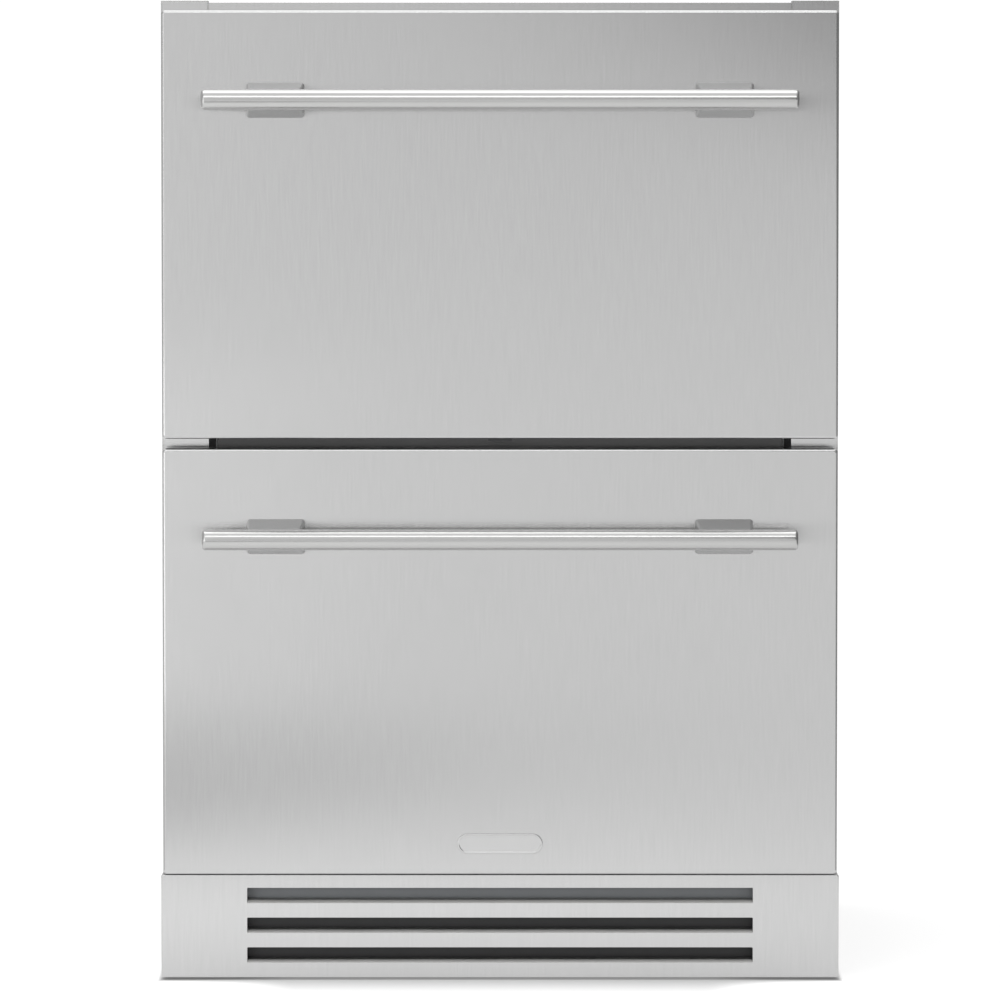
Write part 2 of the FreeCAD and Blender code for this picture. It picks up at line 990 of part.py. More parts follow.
# The moulded plug on each pan, kept clear of the liner, the strips and the mullion.
PLUGS = {
    "upper": ("mullion_top + pan_room", "liner_ceiling - pan_room"),
    "lower": ("liner_floor + pan_room", "mullion_low - pan_room"),
}


def handle(name, low):
    """Round bar on two tapered stand-off brackets."""
    bar_z = f"({low} + front_tall - {name}_bar_drop)"
    bar = new_body(name + "_bar")
    middle = ("face_y - bar_stand", bar_z)
    pad(bar, circles(bar, "YZ", "-bar_long / 2", [middle], "bar_radius"), "bar_long")
    dress(bar, "Chamfer", "bar_chamfer", lambda e: e.Curve.TypeId == "Part::GeomCircle")
    node(name + "_handle_bar", bar)

    brackets = []
    for side in (-1, 1):
        letter = "lr"[side > 0]
        x = f"({side} * bracket_apart / 2)"
        body = new_body(f"{name}_bracket_{letter}")
        root = rectangle(
            body,
            "XZ",
            "-face_y",
            (f"{x} - bracket_w / 2", f"{x} + bracket_w / 2"),
            (f"{bar_z} - bracket_tall / 2", f"{bar_z} + bracket_tall / 2"),
        )
        nose = rectangle(
            body,
            "XZ",
            "-face_y + bar_stand",
            (f"{x} - bracket_nose_w / 2", f"{x} + bracket_nose_w / 2"),
            (f"{bar_z} - bracket_nose_tall / 2", f"{bar_z} + bracket_nose_tall / 2"),
        )
        loft = body.newObject("PartDesign::AdditiveLoft", body.Name + "_loft")
        loft.Profile = root
        loft.Sections = [nose]
        loft.Ruled = True
        doc.recompute()
        dress(
            body,
            "Fillet",
            "bracket_round",
            lambda e: e.BoundBox.YLength > value("bar_stand") / 2,
        )
        seat = circles(
            body,
            "YZ",
            f"{x} - bracket_w",
            [("face_y - bar_stand", bar_z)],
            "bar_radius",
        )
        pocket(body, seat, "2 * bracket_w", forward=True)
        holes = circles(
            body,
            "XZ",
            "-face_y",
            [(f"{x} + {s} * screw_apart / 2", bar_z) for s in (-1, 1)],
            "screw_radius + 0.1",
        )
        pocket(body, holes, "bracket_bore", forward=True)
        brackets.append(body)
    node(name + "_handle_brackets", together(name + "_brackets", brackets))


def tub(name, x, y, z, corner):
    """A block with rounded upright corners and half that radius round its floor."""
    body = new_body(name)
    pad(body, rectangle(body, "XY", z[0], x, y), f"({z[1]}) - ({z[0]})")
    dress(body, "Fillet", corner, lambda e: edge_along(e, 2))
    floor = value(z[0]) + 0.01
    dress(body, "Fillet", f"({corner}) / 2", lambda e: e.BoundBox.ZMax < floor)
    return body


def drawer_bin(name):
    """Welded stainless bin, open at the top, with air slots at its back."""
    low = f"{name}_bin_low"
    long = f"{name}_bin_long"
    outer = tub(
        name + "_bin_outer",
        ("-bin_w / 2", "bin_w / 2"),
        ("bin_front", f"bin_front + {long}"),
        (low, f"{low} + bin_tall"),
        "bin_round",
    )
    slot = pocket(
        outer,
        rectangle(
            outer,
            "XZ",
            f"-bin_front - {long}",
            ("air_slot_in - bin_w / 2", "air_slot_in + air_slot_w - bin_w / 2"),
            (f"{low} + air_slot_low", f"{low} + air_slot_top"),
        ),
        "5",
        forward=True,
    )
    repeat(outer, slot, "X", "bin_w - 2 * air_slot_in - air_slot_w", 20)
    room = tub(
        name + "_bin_room",
        ("bin_wall - bin_w / 2", "bin_w / 2 - bin_wall"),
        ("bin_front + bin_wall", f"bin_front + {long} - bin_wall"),
        (f"{low} + bin_wall", f"{low} + bin_tall + 5"),
        "bin_round - bin_wall",
    )
    node(name + "_bin", cut(name + "_bin_shell", outer, [room]))


def edge_plug(name, low, drop):
    """Small black plug under the middle of the front, over the seam of its folds."""
    middle = ("-plug_w / 2", "plug_w / 2")
    deep = ("face_y + plug_set", "face_y + plug_set + plug_deep")
    plug = box(name + "_plug", middle, deep, (f"{low} - {drop}", low))
    node(name + "_edge_plug", plug)


def rail(name, centre, front, web, lips, half):
    """One folded slide member on the left side, running back from front.

    The web and the lips' edges are given as distances from the cabinet's middle.
    """
    body = new_body(name)
    fold = "- rail_sheet" if value(lips) < value(web) else "+ rail_sheet"
    web_x, inner_x, lip_x = f"-({web})", f"-({web} {fold})", f"-({lips})"
    top, low = f"{centre} + ({half})", f"{centre} - ({half})"
    corners = [
        (web_x, low),
        (web_x, top),
        (lip_x, top),
        (lip_x, f"{top} - rail_sheet"),
        (inner_x, f"{top} - rail_sheet"),
        (inner_x, f"{low} + rail_sheet"),
        (lip_x, f"{low} + rail_sheet"),
        (lip_x, low),
    ]
    pad(body, outline(body, "XZ", f"-({front}) - rail_long", corners), "rail_long")
    return body


def slides():
    """Three-member full-extension slides, a pair for each bin."""
    outer = []
    for name in ("upper", "lower"):
        centre = f"({name}_bin_low + rail_up)"
        members = (
            ("outer", "rail_front", "liner_half", "liner_half - 9", "rail_tall / 2"),
            (
                "mid",
                "rail_front - 4",
                "liner_half - 2.2",
                "liner_half - 8.6",
                "rail_tall / 2 - 5",
            ),
            (
                "inner",
                "rail_front - 10",
                "bin_w / 2 + 0.1",
                "liner_half - 4.6",
                "rail_tall / 2 - 10",
            ),
        )
        for kind, front, web, lips, half in members:
            left = rail(f"{name}_{kind}_rail_l", centre, front, web, lips, half)
            pair = [left, mirrored(f"{name}_{kind}_rail_r", left)]
            if kind == "outer":
                outer += pair
            else:
                node(f"{name}_{kind}_rails", together(f"{name}_{kind}_rails", pair))
    node("slide_outer_rails", together("outer_rails", outer))


def badge():
    """Blank oval plate on the lower front."""
    body = new_body("badge_plate")
    middle = "(front_low + plate_up)"
    outer = rectangle(
        body,
        "XZ",
        "-face_y",
        ("-plate_long / 2", "plate_long / 2"),
        (f"{middle} - plate_tall / 2", f"{middle} + plate_tall / 2"),
    )
    pad(body, outer, "plate_thick")
    dress(body, "Fillet", "plate_tall / 2 - 0.01", lambda e: edge_along(e, 1))
    front = value("face_y - plate_thick") + 0.1
    dress(body, "Fillet", "plate_round", lambda e: edge_middle(e).y < front)
    node("badge", body)


# ---------------------------------------------------------------- plinth and feet


def kick_grille():
    """Louvred plinth panel: folded sheet with three long slots, each with a lip."""
    low, top = "kick_low", "(kick_low + kick_tall)"
    front, back = "(face_y + kick_back)", "(frame_y - 0.3)"
    body = new_body("kick")
    pad(
        body,
        rectangle(
            body,
            "XZ",
            f"-{back}",
            ("-kick_w / 2", "kick_w / 2"),
            (low, top),
        ),
        f"{back} - {front}",
    )
    dress(body, "Fillet", "kick_round", lambda e: edge_along(e, 1))
    dress(
        body,
        "Fillet",
        "kick_hem",
        lambda e: edge_middle(e).y < value(front) + 0.01 and e.Length > 1,
    )
    hollow = rectangle(
        body,
        "XZ",
        f"-{back}",
        ("frame_sheet - kick_w / 2", "kick_w / 2 - frame_sheet"),
        (f"{low} + frame_sheet", f"{top} - frame_sheet"),
    )
    pocket(body, hollow, f"{back} - {front} - frame_sheet", forward=True)
    back_open = rectangle(
        body,
        "XZ",
        f"-{back}",
        ("frame_sheet - kick_w / 2", "kick_w / 2 - frame_sheet"),
        (f"{low} - 1", f"{low} + frame_sheet"),
    )
    pocket(body, back_open, "30", forward=True)
    slot = pocket(
        body,
        rectangle(
            body,
            "XZ",
            f"-{front}",
            ("-slot_w / 2", "slot_w / 2"),
            ("slot_low", "slot_low + slot_tall"),
        ),
        "frame_sheet + 0.5",
    )
    repeat(body, slot, "Z", "2 * slot_pitch", 3)
    lip = pad(
        body,
        rectangle(
            body,
            "XZ",
            f"-{front} - frame_sheet",
            ("-slot_w / 2 - lip_over", "slot_w / 2 + lip_over"),
            ("slot_low - frame_sheet", "slot_low"),
        ),
        "slot_lip",
        back=True,
    )
    repeat(body, lip, "Z", "2 * slot_pitch", 3)
    node("kick_grille", body)


FOOT_SPOTS = {
    "front_left": ("-foot_x", "frame_y + foot_front"),
    "front_right": ("foot_x", "frame_y + foot_front"),
    "rear_left": ("-foot_x", "back_y - foot_rear"),
    "rear_right": ("foot_x", "back_y - foot_rear"),
}


def base_and_feet():
    """Folded base pan with four welded nuts, and a levelling foot in each."""
    floor = box(
        "pan_floor",
        ("skin - half_w", "half_w - skin"),
        ("frame_y + frame_deep + 0.2", "back_y - 2 * skin"),
        ("pan_low", "pan_top"),
    )
    tongue = box(
        "pan_tongue",
        ("-liner_half", "liner_half"),
        ("face_y + 20", "frame_y + frame_deep + 0.2"),
        ("pan_low", "pan_top"),
    )
    flanges = [
        box(
            f"pan_flange_{name}",
            x,
            ("frame_y + frame_deep + 0.2", "back_y - 2 * skin"),
            ("pan_low", "pan_low + pan_flange"),
        )
        for name, x in (
            ("left", ("skin - half_w", "skin + pan_sheet - half_w")),
            ("right", ("half_w - skin - pan_sheet", "half_w - skin")),
        )
    ]
    nuts = [
        rod(f"nut_{spot}", "nut_radius", "nut_tall", (x, y, "pan_low"))
        for spot, (x, y) in FOOT_SPOTS.items()
    ]
    holes = [
        rod(f"nut_bore_{spot}", "stem_radius + stem_fit", "30", (x, y, "pan_low - 4"))
        for spot, (x, y) in FOOT_SPOTS.items()
    ]
    whole = fuse("pan_whole", [floor, tongue, *flanges, *nuts])
    node("base_pan", cut("pan", whole, holes))

    for spot, (x, y) in FOOT_SPOTS.items():
        body = new_body("foot_body_" + spot)
        profile = [
            ("0", "0"),
            ("pad_radius - 1", "0"),
            ("pad_radius", "1"),
            ("pad_radius", "5"),
            ("pad_radius - 5", "pad_tall"),
            ("collar_radius", "pad_tall"),
            ("collar_radius", "collar_top"),
            ("stem_radius", "collar_top"),
            ("stem_radius", "stem_tall - 1"),
            ("stem_radius - 1", "stem_tall"),
            ("0", "stem_tall"),
        ]
        turn(body, profile)
        move(body, x, y, "0")
        node("foot_" + spot, body)


# ---------------------------------------------------------------- refrigeration


def half_bend(name, at, gap, turn):
    """A half ring that joins two parallel tubes."""
    bend = doc.addObject("Part::Torus", name)
    bind(bend, Radius1=f"({gap}) / 2", Radius2="tube_radius")
    bend.Angle3 = 180
    return move(bend, *at, turn=turn)


def finned_coil(name, half, rows, pitches, low, front, fin_pitch, plate):
    """Tubes through a pack of fins, joined by return bends into one long run.

    rows and pitches run front to back, then bottom to top. The open ends are the front
    column's lowest on the left and, for an odd count each way, the rear one's highest.
    """
    deep_pitch, tall_pitch = pitches
    body = new_body(name + "_pack")
    y_at = [f"({front} + {deep_pitch} * {0.5 + i})" for i in range(rows[0])]
    z_at = [f"({low} + {tall_pitch} * {0.5 + j})" for j in range(rows[1])]
    pack_y = (front, f"{front} + {deep_pitch} * {rows[0]}")
    pack_z = (low, f"{low} + {tall_pitch} * {rows[1]}")
    count = int(2 * value(half) / value(fin_pitch))
    fin = pad(body, rectangle(body, "YZ", f"-({half})", pack_y, pack_z), "fin_sheet")
    repeat(body, fin, "X", f"2 * ({half}) - fin_sheet", count)
    centres = [(y, z) for y in y_at for z in z_at]
    tubes = circles(body, "YZ", f"-({half}) - tube_out", centres, "tube_radius")
    pad(body, tubes, f"2 * ({half}) + 2 * tube_out")
    parts = [body]
    upright = Rotation(Vector(1, 0, 0), 90)
    for i in range(rows[0]):
        for j in range(rows[1] - 1):
            side = 1 if j % 2 == 0 else -1
            at = (f"{side} * ({half} + tube_out)", y_at[i], f"({z_at[j]} + {z_at[j + 1]}) / 2")
            turn = Rotation(Vector(0, 1, 0), 90 * side).multiply(upright)
            parts.append(half_bend(f"{name}_bend_{i}_{j}", at, tall_pitch, turn))
    for i in range(rows[0] - 1):
        top = i % 2 == 0
        right = top and rows[1] % 2 == 1
        at = (
            f"{1 if right else -1} * ({half} + tube_out)",
            f"({y_at[i]} + {y_at[i + 1]}) / 2",
            z_at[-1] if top else z_at[0],
        )
        turn = Rotation(Vector(0, 0, 1), -90 if right else 90)
        parts.append(half_bend(f"{name}_cross_{i}", at, deep_pitch, turn))
    parts += [
        box(
            f"{name}_plate_{side}",
            (f"{side} * ({half} + 1) - 0.8", f"{side} * ({half} + 1) + 0.8"),
            plate[0],
            plate[1],
        )
        for side in (-1, 1)
    ]
    return fuse(name, parts)


def axial_fan(name, radius, deep, count):
    """Hub and pitched blades about the Y axis, made at its own centre."""
    body = new_body(name)
    hub = circles(body, "XZ", f"-({deep}) / 2", [("0", "0")], f"{radius} * 0.3")
    pad(body, hub, deep)
    dress(
        body,
        "Fillet",
        "3",
        lambda e: e.Curve.TypeId == "Part::GeomCircle" and edge_middle(e).y < 0,
    )
    lean = f"({radius} * 0.28)"
    blade_section = [
        (f"-{lean}", f"({deep}) * 0.42"),
        (f"1.4 - {lean}", f"({deep}) * 0.48"),
        (lean, f"1.2 - ({deep}) * 0.44"),
        (f"{lean} - 1.4", f"-({deep}) * 0.46"),
    ]
    section = outline(body, "XY", f"{radius} * 0.25", blade_section)
    around(body, pad(body, section, f"{radius} * 0.72"), "Y", count)
    return body


def condenser():
    """Finned coil behind the grille, drawn through by a fan in the rear compartment."""
    coil = finned_coil(
        "condenser",
        "coil_half",
        (3, 3),
        ("coil_deep / 3", "coil_tall / 3"),
        "coil_low",
        "coil_front",
        "fin_pitch",
        (
            ("coil_front", "coil_front + coil_deep"),
            ("pan_top", "coil_low + coil_tall"),
        ),
    )
    node("condenser_coil", coil)

    fan = axial_fan("condenser_blade", "fan_radius", "fan_deep", 5)
    move(fan, "fan_x", "fan_y", "fan_up")
    node("condenser_fan_blade", fan)

    sides = ("shroud_left", "shroud_right")
    plate_y = "fan_y - shroud_set"
    plate = box(
        "shroud_plate",
        sides,
        (plate_y, f"{plate_y} + shroud_sheet"),
        ("pan_top", "foam_step - 1"),
    )
    ring_at = ("fan_x", plate_y, "fan_up")
    collar = rod("shroud_collar", "fan_radius + 5", "shroud_collar", ring_at, "Y")
    foot = box("shroud_foot", sides, (plate_y, "fan_y"), ("pan_top", "pan_top + shroud_sheet"))
    throat_at = ("fan_x", "fan_y - 20", "fan_up")
    throat = rod("shroud_throat", "fan_radius + 3.5", "40", throat_at, "Y")
    line_at = ("liquid_x", "fan_y - 20", "liquid_z")
    notch = rod("shroud_notch", "4", "8", line_at, "Y")
    node(
        "condenser_fan_shroud",
        cut("shroud", fuse("shroud_whole", [plate, collar, foot]), [throat, notch]),
    )

    can_at = ("fan_x", "fan_y + 12", "fan_up")
    motor = rod("motor_can", "motor_radius", "motor_long", can_at, "Y")
    nose = rod("motor_nose", "10", "2", ("fan_x", "fan_y + 10.3", "fan_up"), "Y")
    arm = box(
        "motor_arm",
        ("fan_x - 5", "fan_x + 5"),
        ("fan_y + 30", "fan_y + 33"),
        ("pan_top", "fan_up"),
    )
    base = box(
        "motor_base",
        ("fan_x - 25", "fan_x + 25"),
        ("fan_y + 20", "fan_y + 45"),
        ("pan_top", "pan_top + 2"),
    )
    node("condenser_fan_motor", fuse("fan_motor", [motor, nose, arm, base]))


def compressor():
    """Hermetic compressor on four rubber grommets, with its relay cover."""
    shell = new_body("shell")
    middle = [("0", "0")]
    pad(shell, circles(shell, "XY", "0", middle, "shell_radius"), "shell_tall")
    dress(shell, "Fillet", "shell_round", lambda e: e.Curve.TypeId == "Part::GeomCircle")
    seam = circles(shell, "XY", "shell_tall * 0.55", middle, "shell_radius + seam_out")
    pad(shell, seam, "4")
    tray_x = ("-shell_tray_x", "shell_tray_x")
    tray = rectangle(shell, "XY", "3", tray_x, ("-shell_tray_y", "shell_tray_y"))
    pad(shell, tray, "4")
    bolt_spots = [(f"{a} * bolt_x", f"{b} * bolt_y") for a in (-1, 1) for b in (-1, 1)]
    pocket(shell, circles(shell, "XY", "7", bolt_spots, "bolt_hole"), "5")
    move(shell, "shell_x", "shell_y", "shell_low - 7")
    node("compressor", shell)

    mounts = []
    for i, (x, y) in enumerate(bolt_spots):
        place = (f"shell_x + {x}", f"shell_y + {y}")
        tall = "shell_low - 4 - pan_top"
        grommet = rod(f"grommet_{i}", "grommet_radius", tall, (*place, "pan_top"))
        neck = rod(f"grommet_neck_{i}", "bolt_hole - 0.3", "8", (*place, "shell_low - 5"))
        mounts.append(fuse(f"mount_{i}", [grommet, neck]))
    node("compressor_mounts", together("mounts", mounts))

    block = new_body("relay_block")
    block_y = ("shell_y - relay_half", "shell_y + relay_half")
    block_x = ("shell_x + relay_in", "shell_x + relay_out")
    base = rectangle(block, "XY", "shell_low + relay_low", block_x, block_y)
    pad(block, base, "relay_tall")
    dress(
        block,
        "Fillet",
        "6",
        lambda e: edge_along(e, 2) and edge_middle(e).x > value("shell_x + relay_in") + 1,
    )
    clear = rod("relay_clear", "shell_radius + seam_out + 0.4", "100",
                ("shell_x", "shell_y", "pan_top + 10"))
    node("terminal_cover", cut("relay", block, [clear]))


def drain_and_drier():
    """Condensate tray with the tube that feeds it, and the filter drier."""
    deep = ("back_y - tray_near", "back_y - tray_far")
    block = box("tray_block", ("tray_left", "tray_right"), deep, ("pan_top", "tray_top"))
    hollow = box(
        "tray_room",
        ("tray_left + tray_wall", "tray_right - tray_wall"),
        (f"{deep[0]} + tray_wall", f"{deep[1]} - tray_wall"),
        ("pan_top + tray_wall", "tray_top + 1"),
    )
    node("condensate_tray", cut("tray", block, [hollow]))

    tall = "step_top + 1.2 - drain_low"
    tube = rod("drain_outer", "drain_radius", tall, (*DRAIN_SPOT, "drain_low"))
    flange = rod("drain_rim", "drain_flange", "1.2", (*DRAIN_SPOT, "step_top"))
    bore = rod("drain_hole", "drain_bore", "step_top + 20", (*DRAIN_SPOT, "drain_low - 6"))
    node("drain_tube", cut("drain", fuse("drain_whole", [tube, flange]), [bore]))

    drier = new_body("drier")
    profile = [
        ("0", "0"),
        ("drier_neck", "0"),
        ("drier_neck", "8"),
        ("drier_radius", "18"),
        ("drier_radius", "drier_tall - 18"),
        ("drier_neck", "drier_tall - 8"),
        ("drier_neck", "drier_tall"),
        ("0", "drier_tall"),
    ]
    turn(drier, profile)
    move(drier, "drier_x", "drier_y", "drier_low")
    node("filter_drier", drier)


def refrigerant_lines():
    """Copper lines that join the compressor, condenser, drier and evaporator."""
    shell_x, shell_y = value("shell_x"), value("shell_y")
    crown = value("shell_low - 7 + shell_tall") + LINE_GAP
    ceiling = value("foam_step")
    side = value("coil_half + tube_out") + LINE_GAP
    coil_in = (value("coil_front + coil_deep * 5 / 6"), value("coil_low + coil_tall * 5 / 6"))
    coil_out = (value("coil_front + coil_deep / 6"), value("coil_low + coil_tall / 6"))
    drier = (value("drier_x"), value("drier_y"))
    drier_ends = (value("drier_low") - LINE_GAP, value("drier_low + drier_tall") + LINE_GAP)
    evap_side = value("evap_half + tube_out") + LINE_GAP
    evap_z = value("evap_low + evap_tall / 12")
    evap_front, evap_rear = [value(text) for text in EVAP_COLUMNS]
    riser_x, rear_riser_x = value(RISERS[0][0]), value(RISERS[1][0])
    liquid_x, liquid_z = value("liquid_x"), value("liquid_z")
    discharge = [
        (shell_x + 20, shell_y - 20, crown),
        (shell_x + 20, shell_y - 20, ceiling - 22),
        (side + 24, shell_y - 20, ceiling - 22),
        (side + 24, shell_y - 20, coil_in[1]),
        (side + 24, coil_in[0], coil_in[1]),
        (side, coil_in[0], coil_in[1]),
    ]
    suction = [
        (shell_x - 30, evap_front, crown),
        (shell_x - 30, evap_front, ceiling - 11),
        (riser_x, evap_front, ceiling - 11),
        (riser_x, evap_front, evap_z),
        (-evap_side, evap_front, evap_z),
    ]
    liquid = [
        (-side, coil_out[0], coil_out[1]),
        (liquid_x, coil_out[0], coil_out[1]),
        (liquid_x, drier[1], liquid_z),
        (drier[0], drier[1], liquid_z),
        (drier[0], drier[1], drier_ends[0]),
    ]
    capillary = [
        (drier[0], drier[1], drier_ends[1]),
        (drier[0], drier[1], ceiling - 14),
        (rear_riser_x, evap_rear, ceiling - 14),
        (rear_riser_x, evap_rear, evap_z),
        (-evap_side, evap_rear, evap_z),
    ]
    lines = [
        pipe("discharge_line", discharge, value("discharge_radius"), 9),
        pipe("suction_line", suction, value("suction_radius"), 5),
        pipe("liquid_line", liquid, value("liquid_radius"), 4.5),
        pipe("capillary_line", capillary, value("capillary_radius"), 3.5),
    ]
    node("refrigerant_lines", together("lines", lines))


def cooling_inside():
    """Evaporator, its fan and the vented cover that hides them."""
    coil = finned_coil(
        "evaporator",
        "evap_half",
        (2, 6),
        ("evap_deep / 2", "evap_tall / 6"),
        "evap_low",
        "evap_front",
        "9",
        (("evap_front", "liner_back"), ("evap_low", "evap_low + evap_tall")),
    )
    node("evaporator_coil", coil)

    fan = axial_fan("evaporator_blade", "evap_fan_radius", "evap_fan_deep", 7)
    move(fan, "0", "cover_y + evap_fan_back", "evap_fan_up")
    node("evaporator_fan_blade", fan)

    can_at = ("0", "cover_y + evap_fan_back + 9", "evap_fan_up")
    shaft_at = ("0", "cover_y + evap_fan_back + 7.3", "evap_fan_up")
    can = rod("evap_can", "evap_motor_radius", "evap_motor_long", can_at, "Y")
    shaft = rod("evap_shaft", "6", "2", shaft_at, "Y")
    node("evaporator_fan_motor", fuse("evap_motor", [can, shaft]))

    cover = new_body("cover")
    low, top = "(step_top + cover_gap)", "(liner_ceiling - cover_gap)"
    foot = "(liner_back - 0.3)"
    pad(
        cover,
        rectangle(
            cover,
            "XZ",
            f"-{foot}",
            ("cover_gap - liner_half", "liner_half - cover_gap"),
            (low, top),
        ),
        f"{foot} - cover_y",
    )
    dress(cover, "Fillet", "6",
          lambda e: e.BoundBox.YMax < value("cover_y") + 0.01 and e.Length > 100)
    hollow = rectangle(
        cover,
        "XZ",
        f"-{foot}",
        (
            "cover_gap + cover_sheet - liner_half",
            "liner_half - cover_gap - cover_sheet",
        ),
        (f"{low} - 1", f"{top} - cover_sheet"),
    )
    pocket(cover, hollow, f"{foot} - cover_y - cover_sheet - 5", forward=True)
    flat = rectangle(
        cover,
        "XZ",
        f"-{foot}",
        (
            "cover_gap + cover_rim - liner_half",
            "liner_half - cover_gap - cover_rim",
        ),
        (f"{low} - 1", f"{top} - cover_rim"),
    )
    pocket(cover, flat, f"{foot} - cover_y - cover_sheet", forward=True)
    outlet = pocket(
        cover,
        rectangle(
            cover,
            "XZ",
            "-cover_y",
            ("-outlet_half", "outlet_half"),
            ("evap_fan_up - 48", "evap_fan_up - 48 + air_slit"),
        ),
        "5",
    )
    repeat(cover, outlet, "Z", "outlet_rise", 10)
    intake = pocket(
        cover,
        rectangle(
            cover,
            "XZ",
            "-cover_y",
            ("-intake_half", "intake_half"),
            ("intake_low", "intake_low + air_slit"),
        ),
        "5",
    )
    repeat(cover, intake, "Z", "intake_rise", 5)
    node("evaporator_cover", cover)


# ---------------------------------------------------------------- electrics


BUTTONS = {"button_warmer": "26", "button_colder": "42"}


def electrics():
    lamps = [
        box(
            f"lamp_{i}",
            x,
            ("frame_y + 26", "frame_y + 26 + lamp_deep"),
            (f"{z} - lamp_tall", z),
        )
        for i, (x, z) in enumerate(
            [
                (("-230", "-75"), "liner_ceiling"),
                (("75", "230"), "liner_ceiling"),
                (("-200", "200"), "mullion_low"),
            ]
        )
    ]
    node("led_strips", together("lamps", lamps))

    housing = new_body("control")
    pad(
        housing,
        rectangle(
            housing,
            "XZ",
            "-control_y - control_deep",
            ("-control_half", "control_half"),
            ("liner_ceiling - control_tall", "liner_ceiling"),
        ),
        "control_deep",
    )
    dress(
        housing,
        "Fillet",
        "4",
        lambda e: edge_along(e, 1) and edge_middle(e).z < value("liner_ceiling") - 20,
    )
    middle = "liner_ceiling - control_tall / 2"
    seats = [(x, middle) for x in BUTTONS.values()]
    wells = circles(housing, "XZ", "-control_y", seats, "button_radius + button_fit")
    pocket(housing, wells, "8")
    window = rectangle(
        housing,
        "XZ",
        "-control_y",
        ("window_left", "window_right"),
        ("liner_ceiling - 20", "liner_ceiling - 6"),
    )
    pocket(housing, window, "1")
    node("control_housing", housing)

    for name, x in BUTTONS.items():
        body = new_body(name + "_cap")
        disc = circles(body, "XZ", "-control_y - 5", [(x, middle)], "button_radius")
        pad(body, disc, "button_long")
        dress(
            body,
            "Fillet",
            "0.8",
            lambda e: edge_middle(e).y < value("control_y") - 1.4
            and e.Curve.TypeId == "Part::GeomCircle",
        )
        node(name, body)

    plate = box(
        "inlet_body",
        ("inlet_x - inlet_w / 2", "inlet_x + inlet_w / 2"),
        ("back_y - inlet_deep", "back_y"),
        ("inlet_up - inlet_tall / 2", "inlet_up + inlet_tall / 2"),
    )
    mouth = box(
        "inlet_mouth",
        ("inlet_x - mouth_w / 2", "inlet_x + mouth_w / 2"),
        ("back_y - mouth_deep", "back_y + 1"),
        ("inlet_up - mouth_tall / 2", "inlet_up + mouth_tall / 2"),
    )
    pins = [
        box(
            f"inlet_pin_{i}",
            (f"inlet_x + {dx} - 1", f"inlet_x + {dx} + 1"),
            ("back_y - mouth_deep - 1", "back_y - 8"),
            (f"inlet_up + {dz} - 2", f"inlet_up + {dz} + 2"),
        )
        for i, (dx, dz) in enumerate([(-7, -3), (0, 3), (7, -3)])
    ]
    socket = cut("inlet_socket", plate, [mouth])
    node("power_inlet", fuse("inlet", [socket, *pins]))


# ---------------------------------------------------------------- assembly


def check_and_write():
    """Stops on a failed object or a bad shape, then writes one STEP file per node."""
    doc.recompute()
    for thing in doc.Objects:
        if "Invalid" in thing.State or "Error" in thing.State:
            raise ValueError(f"{thing.Name} failed to build: {thing.State}")
    os.makedirs("parts", exist_ok=True)
    for thing in NODES:
        shape = thing.Shape
        if shape.isNull() or not shape.isValid() or not shape.Solids:
            raise ValueError(f"{thing.Label} has no valid shape")
        shape.exportStep(f"parts/{thing.Label}.step")
        volume = sum(solid.Volume for solid in shape.Solids) / 1000
        print(f"{thing.Label}: {len(shape.Solids)} solids, {volume:.1f} cm3")


def main():
    outer_case()
    insulation()
    liner()
    face_frame()
    opening_trim()
    for name, low, drop in (
        ("lower", "front_low", "lower_plug_drop"),
        ("upper", "(front_low + front_tall + front_gap)", "upper_plug_drop"),
    ):
        drawer_front(name, low)
        handle(name, low)
        drawer_bin(name)
        edge_plug(name, low, drop)
    slides()
    badge()
    kick_grille()
    base_and_feet()
    condenser()
    compressor()
    drain_and_drier()
    refrigerant_lines()
    cooling_inside()
    electrics()
    check_and_write()


main()
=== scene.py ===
import json
import math

import bmesh
import bpy
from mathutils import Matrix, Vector


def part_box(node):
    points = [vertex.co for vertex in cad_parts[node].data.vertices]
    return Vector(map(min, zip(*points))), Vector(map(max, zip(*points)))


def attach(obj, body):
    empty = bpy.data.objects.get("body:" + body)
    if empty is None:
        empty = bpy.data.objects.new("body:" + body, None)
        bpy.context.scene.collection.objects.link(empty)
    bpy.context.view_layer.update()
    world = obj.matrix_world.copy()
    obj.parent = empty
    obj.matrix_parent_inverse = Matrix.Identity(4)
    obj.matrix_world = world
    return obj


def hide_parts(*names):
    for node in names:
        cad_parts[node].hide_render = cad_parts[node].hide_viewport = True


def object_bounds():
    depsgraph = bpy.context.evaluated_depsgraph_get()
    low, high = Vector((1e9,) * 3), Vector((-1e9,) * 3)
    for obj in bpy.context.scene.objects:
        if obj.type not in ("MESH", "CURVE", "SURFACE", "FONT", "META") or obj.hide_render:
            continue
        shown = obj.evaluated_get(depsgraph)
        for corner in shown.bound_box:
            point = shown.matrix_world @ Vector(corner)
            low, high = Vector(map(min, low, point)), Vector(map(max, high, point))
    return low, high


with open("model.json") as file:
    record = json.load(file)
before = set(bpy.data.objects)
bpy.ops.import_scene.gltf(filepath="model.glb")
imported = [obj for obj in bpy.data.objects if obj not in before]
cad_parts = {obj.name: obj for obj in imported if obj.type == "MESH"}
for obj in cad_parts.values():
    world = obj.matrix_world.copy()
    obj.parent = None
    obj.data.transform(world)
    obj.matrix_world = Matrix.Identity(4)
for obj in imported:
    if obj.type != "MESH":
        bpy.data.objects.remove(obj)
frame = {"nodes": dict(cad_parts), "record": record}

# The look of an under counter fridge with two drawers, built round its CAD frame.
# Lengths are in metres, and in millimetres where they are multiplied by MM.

CAD_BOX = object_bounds()
MM = 0.001
DRAWERS = ("upper", "lower")
SLOT_OF = {part["node"]: part["material_slot"] for part in frame["record"]["subparts"]}


